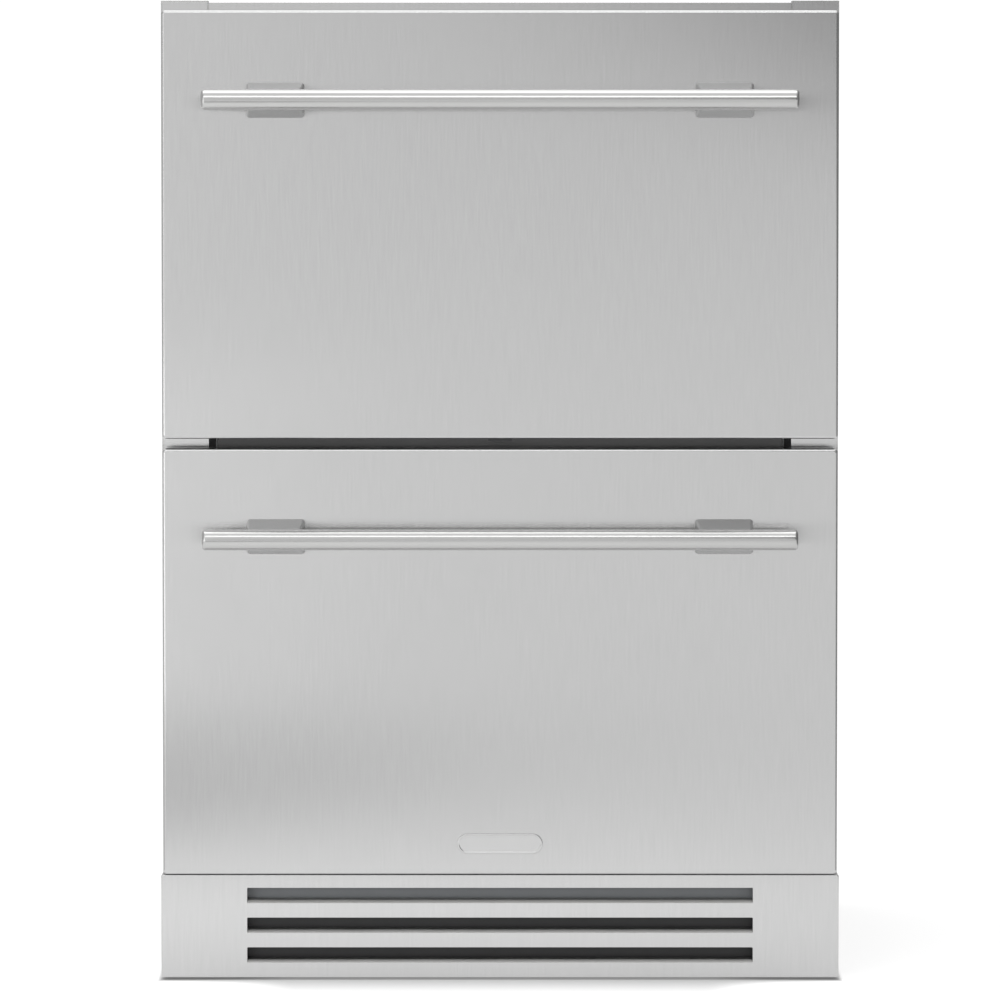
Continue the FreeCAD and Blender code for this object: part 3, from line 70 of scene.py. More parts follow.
# ---------------------------------------------------------------- node tools


def add(tree, kind, settings=None, **inputs):
    """A shader node with its settings, and its inputs as values or as sockets to link.

    An input's name has _ for each space. in0, in1 and so on name it by its place.
    """
    made = tree.nodes.new("ShaderNode" + kind)
    for key, val in (settings or {}).items():
        setattr(made, key, val)
    for key, val in inputs.items():
        by_place = key[:2] == "in" and key[2:].isdigit()
        socket = made.inputs[int(key[2:]) if by_place else key.replace("_", " ")]
        if isinstance(val, bpy.types.NodeSocket):
            tree.links.new(val, socket)
        else:
            socket.default_value = val
    return made


def maths(tree, operation, a, b=0.0):
    return add(tree, "Math", {"operation": operation}, in0=a, in1=b).outputs[0]


def total(tree, first, *others):
    for other in others:
        first = maths(tree, "ADD", first, other)
    return first


def swing(tree, value, amount):
    """A value between 0 and 1, turned into one between -amount and +amount."""
    return maths(tree, "MULTIPLY", maths(tree, "SUBTRACT", value, 0.5), 2 * amount)


def noise(tree, where, scale, detail, roughness=0.5):
    made = add(tree, "TexNoise", Vector=where, Scale=scale, Detail=detail, Roughness=roughness)
    return made.outputs["Fac"]


def mix(tree, factor, a, b, blend="MIX"):
    """A blend of two colours, which are inputs 6 and 7 of the node."""
    settings = {"data_type": "RGBA", "blend_type": blend}
    return add(tree, "Mix", settings, in0=factor, in6=a, in7=b).outputs[2]


def smooth_step(tree, value, start, end, first=0.0, last=1.0):
    """Eases from first to last while the value goes from start to end."""
    return add(
        tree, "MapRange", {"interpolation_type": "SMOOTHSTEP"}, Value=value,
        From_Min=start, From_Max=end, To_Min=first, To_Max=last,
    ).outputs[0]


def new_material(name):
    """A material whose node tree is still empty, and that tree."""
    material = bpy.data.materials.new(name)
    material.use_nodes = True
    material.node_tree.nodes.clear()
    return material, material.node_tree


# ---------------------------------------------------------------- materials


# Wear: how near an edge it starts, how much of it there is outside the patches, and how far
# the surface has turned where it shows first and where it is full.
WEAR_REACH = 1.1 * MM
WEAR_EVERYWHERE = 0.3
WEAR_FROM, WEAR_FULL = 0.03, 0.22


def shade(colour, factor):
    return tuple(min(1.0, c * factor) for c in colour) + (1.0,)


def rounded_normal(tree, radius):
    return add(tree, "Bevel", {"samples": 4}, Radius=radius).outputs[0]


def bumped(tree, height, depth_mm, normal):
    return add(
        tree, "Bump", Strength=1.0, Distance=depth_mm * MM, Height=height, Normal=normal
    ).outputs[0]


def rubbed_edges(tree, patches, amount):
    """From 0 on flats to the amount on edges, more in some patches than in others."""
    soft = rounded_normal(tree, WEAR_REACH)
    true = add(tree, "NewGeometry").outputs["Normal"]
    facing = add(tree, "VectorMath", {"operation": "DOT_PRODUCT"}, in0=soft, in1=true)
    turned = maths(tree, "SUBTRACT", 1.0, facing.outputs["Value"])
    rubbed = maths(tree, "MULTIPLY", turned, maths(tree, "ADD", patches, WEAR_EVERYWHERE))
    return add(
        tree, "MapRange", Value=rubbed, From_Min=WEAR_FROM, From_Max=WEAR_FULL, To_Max=amount
    ).outputs[0]


def surface(
    name, colour, rough, metallic=0.0, stretch=(1, 1, 1), grain=(400, 0.02, 0.1, 0.1),
    blotch=(6, 0.05, 0.05), cells=None, streaks=None, wear=None, round_edge=0.5,
    grain_turn=None, **shader_values,
):
    """A material whose colour, roughness and bump vary from place to place.

    The colour varies between half and one and a half times the one given.

    stretch        scale along each axis of the space that the grain and the cells are in
    grain          (scale per metre, bump depth in mm, roughness swing, colour swing)
    blotch         (scale per metre, roughness swing, colour swing)
    cells          (scale per metre, colour swing, bump depth in mm)
    streaks        (scale per metre, stretch, colour swing, roughness swing)
    wear           (colour, amount) of the rubbed edges
    round_edge     radius in mm that sharp edges are shaded with
    grain_turn     axis that the brushing's tangent turns about
    shader_values  other inputs of the shader
    """
    material, tree = new_material(name)
    where = add(tree, "TexCoord").outputs["Object"]
    drawn = add(tree, "Mapping", Vector=where, Scale=stretch).outputs[0]
    fine = noise(tree, drawn, grain[0], detail=5.0, roughness=0.62)
    broad = noise(tree, where, blotch[0], detail=3.0, roughness=0.55)
    tones = [swing(tree, fine, grain[3]), swing(tree, broad, blotch[2]), 0.5]
    roughs = [swing(tree, fine, grain[2]), swing(tree, broad, blotch[1]), rough]
    normal = bumped(tree, fine, grain[1], rounded_normal(tree, round_edge * MM))
    if streaks:
        drawn_long = add(tree, "Mapping", Vector=where, Scale=streaks[1]).outputs[0]
        long = noise(tree, drawn_long, streaks[0], detail=4.0, roughness=0.7)
        tones.append(swing(tree, long, streaks[2]))
        roughs.append(swing(tree, long, streaks[3]))
    if cells:
        cell = add(tree, "TexVoronoi", Vector=drawn, Scale=cells[0])
        bright = add(tree, "SeparateColor", Color=cell.outputs["Color"]).outputs[0]
        tones.append(swing(tree, bright, cells[1]))
        if cells[2]:
            normal = bumped(tree, cell.outputs["Distance"], cells[2], normal)
    tone = mix(tree, total(tree, *tones), shade(colour, 0.5), shade(colour, 1.5))
    if wear:
        tone = mix(tree, rubbed_edges(tree, broad, wear[1]), tone, (*wear[0], 1.0))
    if grain_turn:
        turn = add(tree, "Tangent", {"direction_type": "RADIAL", "axis": grain_turn})
        shader_values["Tangent"] = turn.outputs[0]
    shader = add(
        tree, "BsdfPrincipled", Base_Color=tone, Roughness=total(tree, *roughs),
        Normal=normal, Metallic=metallic, **shader_values,
    )
    add(tree, "OutputMaterial", Surface=shader.outputs[0])
    return material


# How the grain is stretched where the brushing runs up, and where it runs across.
BRUSH_UP = (1.0, 1.0, 0.012)
BRUSH_ALONG = (0.02, 1.0, 1.0)
BRUSHED_FRONT = dict(
    metallic=1.0, round_edge=0.3, Anisotropic=1.0, grain_turn="Z", stretch=BRUSH_UP,
    grain=(2600, 0.002, 0.03, 0.05), streaks=(580, (1, 1, 0.05), 0.065, 0.01),
)
FINISHES = {
    # slot: (colour, roughness, the rest of what surface() takes)
    "front_steel": ((0.60, 0.60, 0.60), 0.19, dict(blotch=(7, 0.015, 0.015), **BRUSHED_FRONT)),
    "frame_steel": ((0.60, 0.60, 0.60), 0.19, dict(blotch=(7, 0.02, 0.02), **BRUSHED_FRONT)),
    "handle_steel": ((0.53, 0.53, 0.525), 0.22, dict(
        metallic=1.0, stretch=BRUSH_ALONG, grain=(2400, 0.001, 0.03, 0.03),
        blotch=(9, 0.02, 0.02), grain_turn="X", Anisotropic=0.5, Anisotropic_Rotation=0.25,
        round_edge=0.2,
    )),
    # Darker than the bar's steel: painted shade for the brackets' flanks, which face up and down
    # beside the bar.
    "bracket_steel": ((0.42, 0.42, 0.42), 0.30, dict(
        metallic=1.0, grain=(1500, 0.004, 0.05, 0.05), blotch=(20, 0.04, 0.03),
    )),
    "screw_steel": ((0.58, 0.58, 0.56), 0.32, dict(
        metallic=1.0, grain=(1200, 0.01, 0.08, 0.08), blotch=(40, 0.05, 0.06),
    )),
    "bin_steel": ((0.60, 0.60, 0.60), 0.30, dict(
        metallic=1.0, stretch=BRUSH_ALONG, grain=(1800, 0.002, 0.05, 0.05),
        blotch=(9, 0.04, 0.03),
    )),
    "slide_zinc": ((0.55, 0.56, 0.57), 0.36, dict(
        metallic=1.0, stretch=(1, 0.05, 1), grain=(1200, 0.001, 0.03, 0.05),
        blotch=(14, 0.03, 0.04),
    )),
    "case_paint": ((0.030, 0.030, 0.032), 0.46, dict(
        grain=(1300, 0.03, 0.06, 0.10), blotch=(5, 0.05, 0.10),
        wear=((0.16, 0.16, 0.165), 0.6),
    )),
    "back_zinc": ((0.46, 0.475, 0.485), 0.38, dict(
        metallic=1.0, grain=(700, 0.004, 0.05, 0.04), blotch=(8, 0.05, 0.05),
        cells=(95, 0.05, 0.0),
    )),
    "liner_plastic": ((0.62, 0.63, 0.635), 0.34, dict(
        grain=(900, 0.012, 0.04, 0.015), blotch=(5, 0.04, 0.015), round_edge=1.0,
    )),
    "foam": ((0.72, 0.58, 0.30), 0.9, dict(
        grain=(500, 0.25, 0.04, 0.10), blotch=(14, 0.03, 0.08), cells=(650, 0.06, 0.35),
    )),
    "gasket_rubber": ((0.035, 0.035, 0.036), 0.62, dict(
        grain=(1500, 0.02, 0.06, 0.10), blotch=(20, 0.06, 0.12), Specular_IOR_Level=0.35,
    )),
    "mullion_paint": ((0.17, 0.17, 0.17), 0.36, dict(
        metallic=0.6, stretch=BRUSH_ALONG, grain=(1800, 0.004, 0.04, 0.08),
        blotch=(8, 0.04, 0.08),
    )),
    "trim_black": ((0.026, 0.026, 0.027), 0.48, dict(
        grain=(2200, 0.02, 0.05, 0.10), blotch=(12, 0.05, 0.10),
    )),
    "badge_plate": ((0.62, 0.62, 0.62), 0.24, dict(
        metallic=1.0, stretch=BRUSH_ALONG, grain=(2600, 0.002, 0.05, 0.05),
        blotch=(40, 0.03, 0.03),
    )),
    "coil_alloy": ((0.58, 0.59, 0.60), 0.36, dict(
        metallic=1.0, grain=(900, 0.01, 0.08, 0.08), blotch=(16, 0.08, 0.08),
    )),
    "fan_plastic": ((0.03, 0.03, 0.032), 0.42, dict(
        grain=(1600, 0.02, 0.05, 0.1), blotch=(30, 0.06, 0.12),
    )),
    "motor_steel": ((0.20, 0.21, 0.22), 0.42, dict(
        grain=(1100, 0.02, 0.05, 0.08), blotch=(30, 0.06, 0.10), wear=((0.4, 0.4, 0.4), 0.5),
    )),
    "shell_paint": ((0.015, 0.015, 0.016), 0.26, dict(
        grain=(700, 0.04, 0.05, 0.12), blotch=(14, 0.08, 0.2),
        wear=((0.12, 0.12, 0.12), 0.5), Coat_Weight=0.3,
    )),
    "copper": ((0.80, 0.42, 0.27), 0.30, dict(
        metallic=1.0, grain=(900, 0.01, 0.08, 0.08), blotch=(22, 0.12, 0.22),
    )),
    "lamp_lens": ((0.80, 0.82, 0.82), 0.40, dict(
        stretch=(0.2, 1, 1), grain=(1500, 0.02, 0.05, 0.01), blotch=(30, 0.03, 0.02),
    )),
    "button_plastic": ((0.45, 0.46, 0.47), 0.34, dict(
        grain=(2500, 0.01, 0.05, 0.04), blotch=(60, 0.05, 0.04),
    )),
    "foot_steel": ((0.45, 0.45, 0.44), 0.40, dict(
        metallic=1.0, grain=(1000, 0.02, 0.08, 0.08), blotch=(40, 0.08, 0.10),
    )),
}
MATERIALS = {
    slot: surface(slot, colour, rough, **rest)
    for slot, (colour, rough, rest) in FINISHES.items()
}


def paint_nodes():
    """Gives each CAD node the material of its slot in the record."""
    for name, node in frame["nodes"].items():
        material = MATERIALS[SLOT_OF[name]]
        for place in node.material_slots:
            place.link = "OBJECT"
            place.material = material
        if not node.material_slots:
            node.data.materials.append(material)


# ---------------------------------------------------------------- outlines


def rounded_rect(left, right, low, top, radius, steps=6):
    """Corner points of a rounded rectangle in two dimensions, anticlockwise."""
    radius = max(radius, 0.01 * MM)
    points = []
    corners = (
        (right - radius, low + radius, -90),
        (right - radius, top - radius, 0),
        (left + radius, top - radius, 90),
        (left + radius, low + radius, 180),
    )
    for x, z, start in corners:
        for i in range(steps + 1):
            angle = math.radians(start + 90 * i / steps)
            points.append((x + radius * math.cos(angle), z + radius * math.sin(angle)))
    return points


def circle(x, y, radius, steps):
    turns = [2 * math.pi * i / steps for i in range(steps)]
    return [(x + radius * math.cos(t), y + radius * math.sin(t)) for t in turns]


def quarter_turn(radius, steps):
    """Points of a rounded edge, from (0, radius) to (radius, 0)."""
    angles = [math.radians(90 * i / steps) for i in range(steps + 1)]
    return [(radius * (1 - math.cos(a)), radius * (1 - math.sin(a))) for a in angles]


def in_xz(points, y):
    return [(x, y, z) for x, z in points]


def in_xy(points, z):
    return [(x, y, z) for x, y in points]


def in_yz(points, x):
    return [(x, y, z) for y, z in points]


def inset_loop(low, high, inset, y, radius, steps=6):
    """Loop at y, this far inside the outline that a box has from the front."""
    shape = rounded_rect(
        low.x + inset, high.x - inset, low.z + inset, high.z - inset, radius, steps
    )
    return in_xz(shape, y)


def plate_loop(x, z, half_wide, half_tall, y, radius, steps):
    """Loop at y of a rounded rectangle round a middle."""
    shape = rounded_rect(
        x - half_wide, x + half_wide, z - half_tall, z + half_tall, radius, steps
    )
    return in_xz(shape, y)


def folded_sheet(low, high, sheet, corner, hem):
    """Loops of a shallow pan folded from sheet, which fills a box and is open at the back.

    They start inside, go out over the rim, and end at the flat of the face.
    """
    face, back = low.y, high.y
    places = [(sheet, face + sheet), (sheet, back), (0.0, back)]
    places += [(inset, face + behind) for inset, behind in quarter_turn(hem, 6)]
    return [inset_loop(low, high, inset, y, corner - 0.6 * inset) for inset, y in places]


# ---------------------------------------------------------------- mesh tools


def bridge(made, a, b):
    """Quads between two closed loops of corners."""
    for i in range(len(a)):
        j = (i + 1) % len(a)
        made.faces.new((a[i], a[j], b[j], b[i]))


def loft(made, loops, ends="capped"):
    """Quads between successive loops of points. The ends are capped, open or joined."""
    rows = [[made.verts.new(point) for point in loop] for loop in loops]
    for a, b in zip(rows, rows[1:]):
        bridge(made, a, b)
    if ends == "joined":
        bridge(made, rows[-1], rows[0])
    if ends == "capped":
        made.faces.new(list(reversed(rows[0])))
        made.faces.new(rows[-1])
    return rows


def block(made, low, high, bevel, steps=3):
    """A bevelled block between two corners."""
    part = bmesh.new()
    bmesh.ops.create_cube(part, size=1.0)
    middle = (Vector(low) + Vector(high)) / 2
    size = Vector(high) - Vector(low)
    for vert in part.verts:
        vert.co = Vector(c * s for c, s in zip(vert.co, size)) + middle
    bmesh.ops.bevel(
        part, geom=part.edges[:], offset=min(bevel, min(size) * 0.45), segments=steps,
        profile=0.5, affect="EDGES",
    )
    mesh = bpy.data.meshes.new("part")
    part.to_mesh(mesh)
    part.free()
    made.from_mesh(mesh)
    bpy.data.meshes.remove(mesh)


def finish_mesh(name, made, body, slot, replaced=(), sharp=40, weighted=True):
    """Turns a bmesh into a piece: clean normals, shading, material, body and slot.

    Edges that turn by the sharp angle or more, in degrees, are shaded as sharp.
    """
    bmesh.ops.remove_doubles(made, verts=made.verts, dist=1e-6)
    bmesh.ops.recalc_face_normals(made, faces=made.faces)
    limit = math.radians(sharp)
    for edge in made.edges:
        edge.smooth = len(edge.link_faces) == 2 and edge.calc_face_angle(0) < limit
    for face in made.faces:
        face.smooth = True
    mesh = bpy.data.meshes.new(name)
    made.to_mesh(mesh)
    made.free()
    piece = bpy.data.objects.new(name, mesh)
    bpy.context.scene.collection.objects.link(piece)
    mesh.materials.append(MATERIALS[slot])
    if weighted:
        even = piece.modifiers.new("even_normals", "WEIGHTED_NORMAL")
        even.keep_sharp = True
        even.weight = 100
    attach(piece, body)
    if replaced:
        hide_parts(*replaced)


# ---------------------------------------------------------------- drawers


# Width, height and corner radius of a handle bracket, in mm.
BRACKET_AT_PANEL = (51.5, 31.0, 3.0)
BRACKET_AT_BAR = (45.6, 16.4, 1.8)
# Half of the seal's section: (in from its outer edge, back from its foot), as fractions of
# its width and its height. The other half is its mirror image.
SEAL_HALF = (
    (0.02, 0.0), (0.0, 0.06), (0.02, 0.16), (0.14, 0.22), (0.18, 0.32), (0.08, 0.42),
    (0.06, 0.52), (0.16, 0.60), (0.20, 0.68), (0.12, 0.78), (0.14, 0.92), (0.24, 1.0),
)
# The plaque's profile from its side to its field: (in from its edge, back from its face),
# in mm.
PLAQUE_FACE = ((0.0, 0.7), (0.25, 0.2), (0.8, 0.0), (1.5, 0.05), (1.9, 0.45), (2.2, 0.6))


def front_skin(drawer):
    """Folded front: a rounded hem all round, returns behind it, and a hollow back."""
    low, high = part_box(drawer + "_front_skin")
    made = bmesh.new()
    loft(made, folded_sheet(low, high, sheet=1.0 * MM, corner=3.2 * MM, hem=2.5 * MM))
    finish_mesh(
        drawer + "_front_panel", made, drawer + "_drawer", "front_steel",
        [drawer + "_front_skin"],
    )


def handle_bar(drawer):
    """Round bar with a flat face and a rolled edge at each end."""
    low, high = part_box(drawer + "_handle_bar")
    y, z, radius = (low.y + high.y) / 2, (low.z + high.z) / 2, (high.z - low.z) / 2
    # One more ring on the flat and one along the bar keep the edge's shading off them.
    edge, ring_on_flat, ring_along = 3.4 * MM, 0.3 * MM, 12 * MM
    profile = [(0.0, edge + ring_on_flat)] + quarter_turn(edge, 8) + [(ring_along, 0.0)]
    left = [(low.x + deep, radius - inset) for deep, inset in profile]
    middle = (low.x + high.x) / 2
    right = [(2 * middle - x, r) for x, r in reversed(left)]
    made = bmesh.new()
    loft(made, [in_yz(circle(y, z, r, 72), x) for x, r in left + right])
    finish_mesh(
        drawer + "_round_bar", made, drawer + "_drawer", "handle_steel",
        [drawer + "_handle_bar"], sharp=50, weighted=False,
    )


def handle_brackets(drawer):
    """Tapered stand-offs with rounded flanks, saddled round the back of the bar."""
    low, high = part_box(drawer + "_handle_brackets")
    bar_low, bar_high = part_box(drawer + "_handle_bar")
    bar_radius = (bar_high.z - bar_low.z) / 2
    bar_y, z = (bar_low.y + bar_high.y) / 2, (low.z + high.z) / 2
    root, reach = high.y, bar_y + 3.5 * MM - high.y
    chamfer, clearance, steps = 0.5 * MM, 0.02 * MM, 12
    half_root = BRACKET_AT_PANEL[0] / 2 * MM

    def outline(x, y, share, inset=0.0):
        """The bracket at y, a share of the way from the panel to the bar."""
        wide, tall, corner = (
            a + (b - a) * share for a, b in zip(BRACKET_AT_PANEL, BRACKET_AT_BAR)
        )
        half_wide, half_tall = wide / 2 * MM - inset, tall / 2 * MM - inset
        return plate_loop(x, z, half_wide, half_tall, y, corner * MM, 7)

    def saddled(point):
        """The point, moved back to where the bar leaves room for it."""
        x, y, up = point
        behind = bar_radius**2 - (up - z) ** 2
        wall = bar_y + math.sqrt(max(behind, 0.0))
        return x, max(y, wall + clearance), up

    made = bmesh.new()
    for x in (low.x + half_root, high.x - half_root):
        loops = [outline(x, root, 0.0, chamfer), outline(x, root - chamfer, 0.0)]
        loops += [outline(x, root + reach * i / steps, i / steps) for i in range(1, steps + 1)]
        loops[-1] = [saddled(point) for point in loops[-1]]
        loft(made, loops)
    finish_mesh(
        drawer + "_stand_offs", made, drawer + "_drawer", "bracket_steel",
        [drawer + "_handle_brackets"],
    )


def gasket(drawer):
    """Magnetic seal: a flat foot, a folded bellows and a soft bead at the back, mitred."""
    low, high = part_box(drawer + "_gasket")
    wide, tall = 15.0 * MM, high.y - low.y
    section = SEAL_HALF + tuple((1 - across, back) for across, back in reversed(SEAL_HALF))
    made = bmesh.new()
    loops = [
        inset_loop(low, high, across * wide, low.y + back * tall, 0.2 * MM, 1)
        for across, back in section
    ]
    loft(made, loops, ends="joined")
    finish_mesh(
        drawer + "_door_seal", made, drawer + "_drawer", "gasket_rubber",
        [drawer + "_gasket"], sharp=60, weighted=False,
    )


def bin_rim(drawer):
    """Rolled rim round the top of the bin, pressed flat on its outer side."""
    low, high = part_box(drawer + "_bin")
    radius, pressed, corner, steps = 2.0 * MM, 0.6 * MM, 8.0 * MM, 12
    made = bmesh.new()
    loops = []
    for i in range(steps):
        angle = 2 * math.pi * i / steps
        inset = max(0.0, radius * (1 - math.cos(angle)) - pressed)
        shape = rounded_rect(
            low.x + inset, high.x - inset, low.y + inset, high.y - inset, corner - inset, 8
        )
        loops.append(in_xy(shape, high.z - radius + radius * math.sin(angle)))
    loft(made, loops, ends="joined")
    finish_mesh(drawer + "_bin_rim", made, drawer + "_drawer", "bin_steel", sharp=60)


def plaque():
    """Blank oval plate: a raised bright rim round a shallow brushed field."""
    low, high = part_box("badge")
    places = [(0.0, high.y)]
    places += [(inset * MM, low.y + behind * MM) for inset, behind in PLAQUE_FACE]
    round_end = (high.z - low.z) / 2
    made = bmesh.new()
    loft(made, [inset_loop(low, high, inset, y, round_end - inset, 12) for inset, y in places])
    finish_mesh("blank_plaque", made, "lower_drawer", "badge_plate", ["badge"])


# ---------------------------------------------------------------- plinth


SLOTS = 3
SLOT_HALF = 225.4 * MM
SLOT_TALL = 13.6 * MM
SLOT_PITCH = 26.65 * MM
SLOT_CORNER = 0.8 * MM
# From the plinth's lower edge up to the lowest slot.
SLOT_FIRST = 13.3 * MM
# Section of the rolled lip below a slot: (back from the sheet's face, up from the slot's
# lower edge), in mm.
LIP = (
    (0.2, -0.7), (0.4, -0.1), (3.0, 2.5), (4.2, 3.2), (9.0, 3.7), (9.0, 2.8), (4.6, 2.3),
    (3.6, 1.8), (1.4, -0.3), (1.3, -0.9), (0.3, -0.9),
)


def slot_feet():
    """The height of each slot's lower edge."""
    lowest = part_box("kick_grille")[0].z + SLOT_FIRST
    return [lowest + i * SLOT_PITCH for i in range(SLOTS)]


def loop_edges(made, corners):
    """The edges round a closed loop of corners, made where there are none."""
    pairs = zip(corners, corners[1:] + corners[:1])
    return [made.edges.get(pair) or made.edges.new(pair) for pair in pairs]


def slotted_face(made, outline, y):
    """Fills the outline at y round one hole for each slot, and gives the holes' corners."""
    edges = loop_edges(made, outline)
    holes = []
    for foot in slot_feet():
        shape = rounded_rect(-SLOT_HALF, SLOT_HALF, foot, foot + SLOT_TALL, SLOT_CORNER, 3)
        hole = [made.verts.new(point) for point in in_xz(shape, y)]
        edges += loop_edges(made, hole)
        holes.append(hole)
    bmesh.ops.triangle_fill(made, edges=edges, use_beauty=True, use_dissolve=False)
    return holes


def kick_grille():
    """Folded plinth sheet with a row of slots, one above the other."""
    low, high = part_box("kick_grille")
    sheet = 1.2 * MM
    made = bmesh.new()
    loops = folded_sheet(low, high, sheet, corner=1.6 * MM, hem=1.0 * MM)
    rows = loft(made, loops, ends="open")
    outer_holes = slotted_face(made, rows[-1], low.y)
    inner_holes = slotted_face(made, rows[0], low.y + sheet)
    for outer, inner in zip(outer_holes, inner_holes):
        bridge(made, outer, inner)
    finish_mesh("plinth_grille", made, "cabinet", "front_steel", ["kick_grille"], sharp=30)


def grille_lips():
    """Rolled lip along the lower edge of each slot."""
    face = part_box("kick_grille")[0].y
    half = SLOT_HALF - 0.1 * MM
    made = bmesh.new()
    for foot in slot_feet():
        section = [(face + back * MM, foot + up * MM) for back, up in LIP]
        loft(made, [in_yz(section, -half), in_yz(section, half)])
    # The lips take the darker foot_steel rather than the sheet's front_steel: painted shade for
    # the lips down inside the slots.
    finish_mesh("plinth_grille_lips", made, "cabinet", "foot_steel", sharp=50)


def intake_screen_and_slot_shade():
    """Dark pad close behind the slots, partly a guessed intake screen and partly painted shade
    for the dark inside the slots, with a thin grey holder along its top.
    """
    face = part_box("kick_grille")[0].y
    front, thick, half, top = face + 14 * MM, 3 * MM, 252 * MM, 73 * MM
    holder_front, holder_low, holder_top = front - 2 * MM, top - 2 * MM, top + 13 * MM
    gauge, bevel = 1.2 * MM, 0.3 * MM
    pad, holder = bmesh.new(), bmesh.new()
    pad_low = (-half, front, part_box("base_pan")[0].z)
    block(pad, pad_low, (half, front + thick, top), 1 * MM, 2)
    for low, high in (
        ((-half, holder_front, holder_low), (half, holder_front + gauge, holder_top)),
        ((-half, holder_front, holder_top - gauge), (half, front + thick, holder_top)),
    ):
        block(holder, low, high, bevel)
    # The pad's black stands in partly for a screen and partly for painted shade inside the slots.
    finish_mesh("intake_screen_and_slot_shade", pad, "cabinet", "trim_black")
    finish_mesh("intake_screen_rail", holder, "cabinet", "motor_steel")


# ---------------------------------------------------------------- cabinet


# Middles of the back panel's beads, and the heights that they run between.
BEAD_X = (-0.2, 0.0, 0.2)
BEAD_FEET, BEAD_HEADS = 0.30, 0.72
# Middle of the rating plate, and half its width and height.
RATING_AT = (0.2, 0.215)
RATING_HALF = (0.045, 0.0275)
# Profile of a rivet's dome: (radius, height above its foot), in mm.
RIVET = ((2.0, 0.0), (1.9, 0.3), (1.4, 0.6), (0.6, 0.75))
# How deep the details on the back start inside its panel.
SUNK = 0.1 * MM


def mullion():
    """Painted bar between the drawers, with a pale moulded cap on each end."""
    low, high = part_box("mullion_bar")
    cap = 1.2 * MM
    bar, caps = bmesh.new(), bmesh.new()
    block(bar, (low.x + cap, low.y, low.z), (high.x - cap, high.y, high.z), 0.8 * MM)
    block(caps, low, (low.x + cap, high.y, high.z), 0.2 * MM)
    block(caps, (high.x - cap, low.y, low.z), high, 0.2 * MM)
    finish_mesh("mullion_profile", bar, "cabinet", "mullion_paint", ["mullion_bar"])
    finish_mesh("mullion_end_caps", caps, "cabinet", "liner_plastic")


def post_edges():
    """Folded stainless edge that covers the front of each side sheet."""
    low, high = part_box("face_frame")
    side_low, side_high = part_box("side_panel_left")
    wide, deep = 1.1 * MM, 0.25 * MM
    made = bmesh.new()
    for left in (low.x, high.x - wide):
        corner = (left + wide, low.y, side_high.z)
        block(made, (left, low.y - deep, side_low.z), corner, 0.1 * MM)
    finish_mesh("post_outer_edges", made, "cabinet", "frame_steel")


def back_beads():
    """Raised stiffening beads down the back panel, lower than the screws' heads."""
    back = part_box("back_panel")[1].y
    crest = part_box("case_screws")[1].y - 0.2 * MM
    half_foot, half_crest, round_off = 9 * MM, 5 * MM, 1 * MM
    made = bmesh.new()
    for x in BEAD_X:
        loops = []
        for half, y in (
            (half_foot, back - SUNK), (half_foot, back),
            (half_crest + round_off, crest), (half_crest, crest),
        ):
            shape = rounded_rect(
                x - half, x + half, BEAD_FEET - half, BEAD_HEADS + half, half, 10
            )
            loops.append(in_xz(shape, y))
        loft(made, loops)
    finish_mesh("back_panel_beads", made, "cabinet", "back_zinc", sharp=60)


def rating_plate():
    """Blank plate on the back, held by a rivet at each corner."""
    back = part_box("back_panel")[1].y
    x, z = RATING_AT
    half_wide, half_tall = RATING_HALF
    thick, edge, rivet_in = 0.5 * MM, 0.2 * MM, 5 * MM
    plate, rivets = bmesh.new(), bmesh.new()
    loft(plate, [
        plate_loop(x, z, half_wide - inset, half_tall - inset, back + y, 3 * MM, 6)
        for inset, y in ((0.0, -SUNK), (0.0, thick - edge), (edge, thick))
    ])
    finish_mesh("rating_plate_blank", plate, "cabinet", "badge_plate", sharp=60)
    rivet_foot = back + thick - 0.05 * MM
    for side in (-1, 1):
        for up in (-1, 1):
            rivet_x = x + side * (half_wide - rivet_in)
            rivet_z = z + up * (half_tall - rivet_in)
            loft(rivets, [
                in_xz(circle(rivet_x, rivet_z, radius * MM, 20), rivet_foot + tall * MM)
                for radius, tall in RIVET
            ])
    finish_mesh("rating_plate_rivets", rivets, "cabinet", "screw_steel", sharp=60)


# ---------------------------------------------------------------- studio


DOME = (
    # (degrees up from the front horizon and over to the back, radiance)
    (0, 0.86), (10, 0.85), (24, 1.0), (40, 1.1), (55, 1.0), (70, 1.1),
    (82, 1.7), (110, 1.7), (140, 0.7), (180, 0.5),
)
# (place from 0 at the far left to 1 at the far right, how much of the dome is left there)
DOME_SIDES = ((0.0, 0.45), (0.18, 0.6), (0.35, 1.0), (0.53, 1.0), (0.66, 0.85), (1.0, 0.15))
SOFTBOXES = {
    # name: (centre, aimed at, (width, height), radiance)
    "front_top": ((0.0, -1.5, 1.54), (0.0, -0.33, 0.6), (1.8, 0.24), 1.9),
    "overhead": ((0.0, -0.1, 2.3), (0.0, -0.3, 0.4), (2.0, 0.7), 1.0),
    "left_far": ((-1.5, -2.2, 0.8), (0.0, -0.3, 0.45), (1.1, 1.6), 0.9),
    "left_near": ((-0.72, -0.85, 0.36), (-0.2, -0.28, 0.4), (0.5, 0.34), 0.5),
    "floor_wash": ((-0.32, -0.85, 0.75), (-0.32, -0.45, 0.0), (1.1, 0.4), 2.6),
}
UNSEEN_IN_GLOSS = ("floor_wash",)
